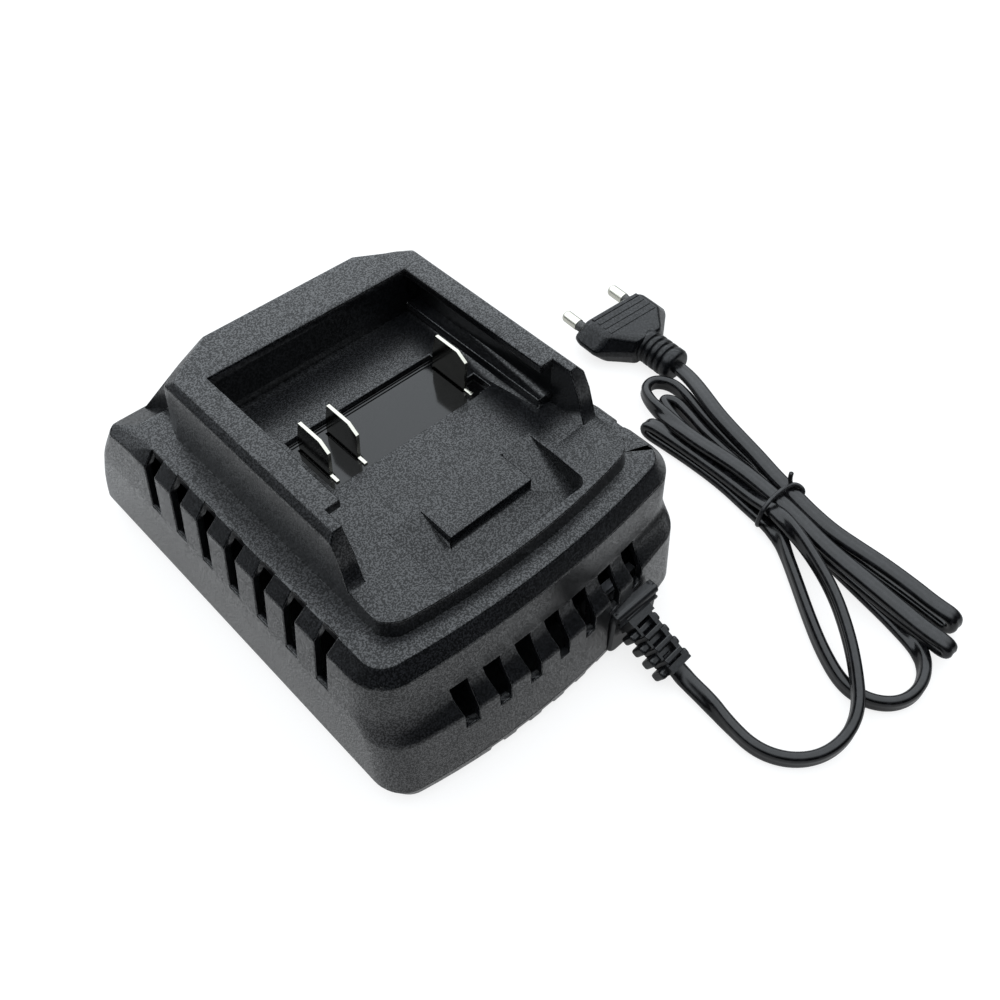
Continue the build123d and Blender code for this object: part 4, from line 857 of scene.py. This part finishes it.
# Each point of the route: x, y, z, and how far the cord is turned on its edge
FLAT, TURNED, EDGE = 0.0, 0.5, 1.0
cord_route = [
    # out of the boot and round the open loop, over the spare turn, to the tie
    (28.4, -85.5, 8.3, FLAT), (28.71, -92.23, 4.98, FLAT), (28.89, -96.34, 2.91, TURNED),
    (28.3, -104.5, 2.85, TURNED), (26.7, -113.5, 2.85, EDGE), (26.1, -122.9, 2.85, EDGE),
    (30.0, -130.9, 2.85, EDGE), (37.1, -136.3, 3.1, EDGE), (45.8, -138.0, 4.6, EDGE),
    (54.4, -135.6, 6.9, EDGE), (62.3, -128.7, 8.6, EDGE), (70.8, -120.3, 8.9, EDGE),
    (79.9, -109.0, 9.0, EDGE), (86.6, -96.0, 9.4, EDGE), (91.0, -84.0, 9.4, TURNED),
    (93.2, -77.0, 8.0, FLAT),
    # lower band of the left lobe: out, folded over its end, and back under itself
    (94.6, -69.0, 5.6, FLAT), (95.8, -58.0, 5.1, FLAT), (96.0, -46.0, 5.1, FLAT),
    (95.8, -34.0, 5.2, FLAT), (95.0, -24.0, 5.6, FLAT), (94.4, -24.0, 1.9, FLAT),
    (95.2, -34.0, 1.75, FLAT), (95.6, -46.0, 1.75, FLAT), (95.2, -58.0, 1.75, FLAT),
    (93.4, -69.0, 1.8, FLAT), (92.0, -77.5, 2.4, FLAT),
    # spare turn: out under the lead, round, and back under the right lobe
    (89.4, -84.0, 3.2, TURNED), (85.8, -88.8, 3.2, EDGE), (80.0, -96.8, 2.95, EDGE),
    (72.0, -107.3, 2.85, EDGE), (65.2, -117.0, 2.85, EDGE), (60.2, -127.0, 2.85, EDGE),
    (60.7, -134.8, 2.85, EDGE), (65.2, -140.9, 2.85, EDGE), (72.0, -143.4, 2.85, EDGE),
    (80.3, -142.0, 2.85, EDGE), (86.6, -136.6, 2.6, TURNED), (89.6, -127.0, 1.75, FLAT),
    (92.0, -114.0, 1.75, FLAT), (94.6, -100.0, 1.75, FLAT), (98.4, -86.0, 1.75, FLAT),
    (102.0, -77.0, 1.8, FLAT),
    # open loop at the far end of the left lobe, standing on its edge
    (104.8, -69.0, 1.9, FLAT), (106.6, -60.0, 2.8, TURNED), (108.0, -51.0, 3.8, EDGE),
    (109.6, -43.0, 4.2, EDGE), (112.0, -34.0, 4.2, EDGE), (114.8, -25.5, 4.2, EDGE),
    (116.4, -17.0, 4.2, EDGE), (112.6, -11.4, 4.3, EDGE), (106.6, -11.8, 4.6, EDGE),
    (102.6, -18.0, 5.6, EDGE), (100.2, -26.0, 6.8, TURNED), (98.6, -34.5, 7.9, FLAT),
    (98.0, -43.5, 8.5, FLAT), (98.4, -52.0, 8.7, FLAT), (98.6, -60.0, 8.7, FLAT),
    (97.8, -69.0, 8.8, FLAT), (96.8, -78.0, 8.7, FLAT),
    # lower band of the right lobe
    (95.6, -86.0, 8.4, FLAT), (93.4, -95.0, 8.4, FLAT), (92.1, -104.0, 8.6, FLAT),
    (91.2, -113.0, 8.7, FLAT), (90.0, -124.0, 8.7, FLAT), (89.0, -134.0, 8.7, FLAT),
    (89.2, -142.4, 8.6, FLAT), (90.0, -142.4, 4.6, FLAT), (90.2, -134.0, 5.1, FLAT),
    (90.6, -124.0, 5.15, FLAT), (91.6, -113.0, 5.15, FLAT), (92.6, -104.0, 5.1, FLAT),
    (93.6, -95.0, 4.9, FLAT), (94.8, -86.0, 4.5, FLAT), (97.2, -77.0, 3.0, FLAT),
    # small inner loop of the left lobe
    (99.2, -69.0, 1.9, FLAT), (100.4, -60.0, 2.4, TURNED), (101.0, -51.0, 2.85, EDGE),
    (101.9, -42.0, 2.85, EDGE), (103.4, -33.0, 2.85, EDGE), (105.6, -24.6, 2.85, EDGE),
    (108.2, -18.6, 2.85, EDGE), (111.4, -22.4, 2.85, EDGE), (109.6, -30.5, 2.85, EDGE),
    (106.8, -40.0, 2.85, EDGE), (104.6, -50.0, 3.2, TURNED), (102.4, -60.0, 4.6, TURNED),
    (100.6, -69.0, 5.25, FLAT), (100.6, -78.0, 5.3, FLAT),
    # upper band of the right lobe, back along its top
    (100.6, -86.0, 5.2, FLAT), (100.2, -95.0, 4.4, FLAT), (100.6, -104.0, 3.2, FLAT),
    (101.2, -113.0, 2.2, FLAT), (101.4, -123.0, 1.8, FLAT), (101.0, -131.0, 1.8, FLAT),
    (100.2, -138.6, 2.0, FLAT), (99.2, -138.6, 8.4, FLAT), (98.8, -131.0, 8.6, FLAT),
    (99.5, -124.0, 8.6, FLAT), (99.9, -113.0, 8.6, FLAT), (99.5, -104.0, 8.6, FLAT),
    (99.2, -95.0, 8.7, FLAT), (100.4, -86.0, 8.8, FLAT), (102.2, -78.0, 9.0, FLAT),
    # along the top of the left lobe to the plug
    (104.0, -69.0, 9.2, FLAT), (106.6, -60.0, 9.4, FLAT), (109.0, -50.0, 9.5, FLAT),
    (112.0, -39.5, 9.4, FLAT), (116.2, -30.0, 8.8, FLAT), (120.4, -21.5, 7.2, FLAT),
    (122.2, -15.0, 6.5, FLAT), (122.8, -8.0, 6.4, FLAT),
]


def along_spline(points, steps=7):
    """Points along a smooth NURBS line that has the given points as its control points."""
    line = bpy.data.curves.new("line", "CURVE")
    line.dimensions = "3D"
    line.resolution_u = steps
    spline = line.splines.new("NURBS")
    spline.points.add(len(points) - 1)
    for control, place in zip(spline.points, points):
        control.co = (*place, 1.0)
    spline.order_u = 3
    spline.use_endpoint_u = True
    holder = bpy.data.objects.new("line", line)
    sampled = bpy.data.meshes.new_from_object(holder)
    places = [Vector(vertex.co) for vertex in sampled.vertices]
    bpy.data.meshes.remove(sampled)
    bpy.data.curves.remove(line)
    return places


# The section is two round cores side by side with a shallow valley between them
core_radius = CORD_THICKNESS / 2
core_offset = CORD_WIDTH / 2 - core_radius
VALLEY_EDGE, SECTION_STEP = 112, 28
cord_section = []
for side in (1, -1):
    for step in range(9):
        turn = math.radians((-VALLEY_EDGE if side > 0 else 180 - VALLEY_EDGE) + SECTION_STEP * step)
        cord_section.append((
            side * core_offset + core_radius * math.cos(turn),
            core_radius * math.sin(turn),
        ))
middle_places = along_spline([[c * MM for c in point[:3]] for point in cord_route])
edge_shares = [place.x for place in along_spline([(point[3], 0, 0) for point in cord_route])]
cord_rings = []
for n, (place, edge_share) in enumerate(zip(middle_places, edge_shares)):
    ahead = middle_places[min(n + 1, len(middle_places) - 1)]
    behind = middle_places[max(n - 1, 0)]
    forward = (ahead - behind).normalized()
    turn = edge_share * math.pi / 2
    wide = Vector((math.cos(turn), 0, math.sin(turn)))
    wide = (wide - forward * wide.dot(forward)).normalized()
    thin = forward.cross(wide)
    cord_rings.append([place + (wide * a + thin * b) * MM for a, b in cord_section])
mains_lead = piece_from_rings("mains_lead", cord_rings)

cord_pvc = moulded(
    "cord_pvc", (0.002, 0.002, 0.0024), (0.012, 0.012, 0.014), (0.16, 0.24), 0.00001, 700.0, rub=0.0
)
put_on(mains_lead, cord_pvc, "cord_sheath", "mains_cord", "spare_turn", "plug_lead", "cord_hank")

# ---------------------------------------------------------------------------
# Twist tie: a steel wire in black plastic, bent round the waist of the hank,
# with a small loop on the right and one end sticking up.
# ---------------------------------------------------------------------------
TIE_RADIUS = 0.75
tie_route = [
    (98.0, -75.2, 0.8), (91.0, -75.4, 0.8), (88.3, -75.6, 3.0), (88.2, -75.6, 6.5), (89.6, -75.4, 9.8),
    (93.5, -75.2, 11.6), (98.0, -75.4, 12.1), (102.3, -76.0, 12.0), (104.3, -77.2, 11.6),
    (104.9, -79.4, 10.6), (104.2, -80.2, 9.0), (104.6, -78.4, 4.0), (103.0, -76.0, 0.8), (98.0, -75.2, 0.8),
]
tail_route = [(104.3, -76.0, 8.0), (103.4, -75.3, 11.5), (102.8, -74.8, 14.0), (102.9, -74.7, 16.0)]


def round_wire(name, route, radius):
    """A round wire along a smooth line through the route."""
    places = along_spline([[c * MM for c in point] for point in route], 5)
    rings = []
    for n, place in enumerate(places):
        forward = places[min(n + 1, len(places) - 1)] - places[max(n - 1, 0)]
        wide = forward.orthogonal().normalized()
        if rings:
            wide = rings[-1][1]
            wide = (wide - forward.normalized() * wide.dot(forward.normalized())).normalized()
        thin = forward.normalized().cross(wide)
        rings.append((place, wide, thin))
    turns = [math.radians(36 * n) for n in range(10)]
    return piece_from_rings(name, [
        [place + (wide * math.cos(turn) + thin * math.sin(turn)) * radius * MM for turn in turns]
        for place, wide, thin in rings
    ])


tie_film = moulded("tie_film", (0.006, 0.006, 0.007), (0.03, 0.03, 0.032), (0.28, 0.38), 0.00001, rub=0.0)
tie_ring = round_wire("tie_ring", tie_route, TIE_RADIUS)
put_on(tie_ring, tie_film, "tie_film", "twist_tie")
tie_end = round_wire("tie_end", tail_route, TIE_RADIUS)
put_on(tie_end, tie_film, "tie_film")
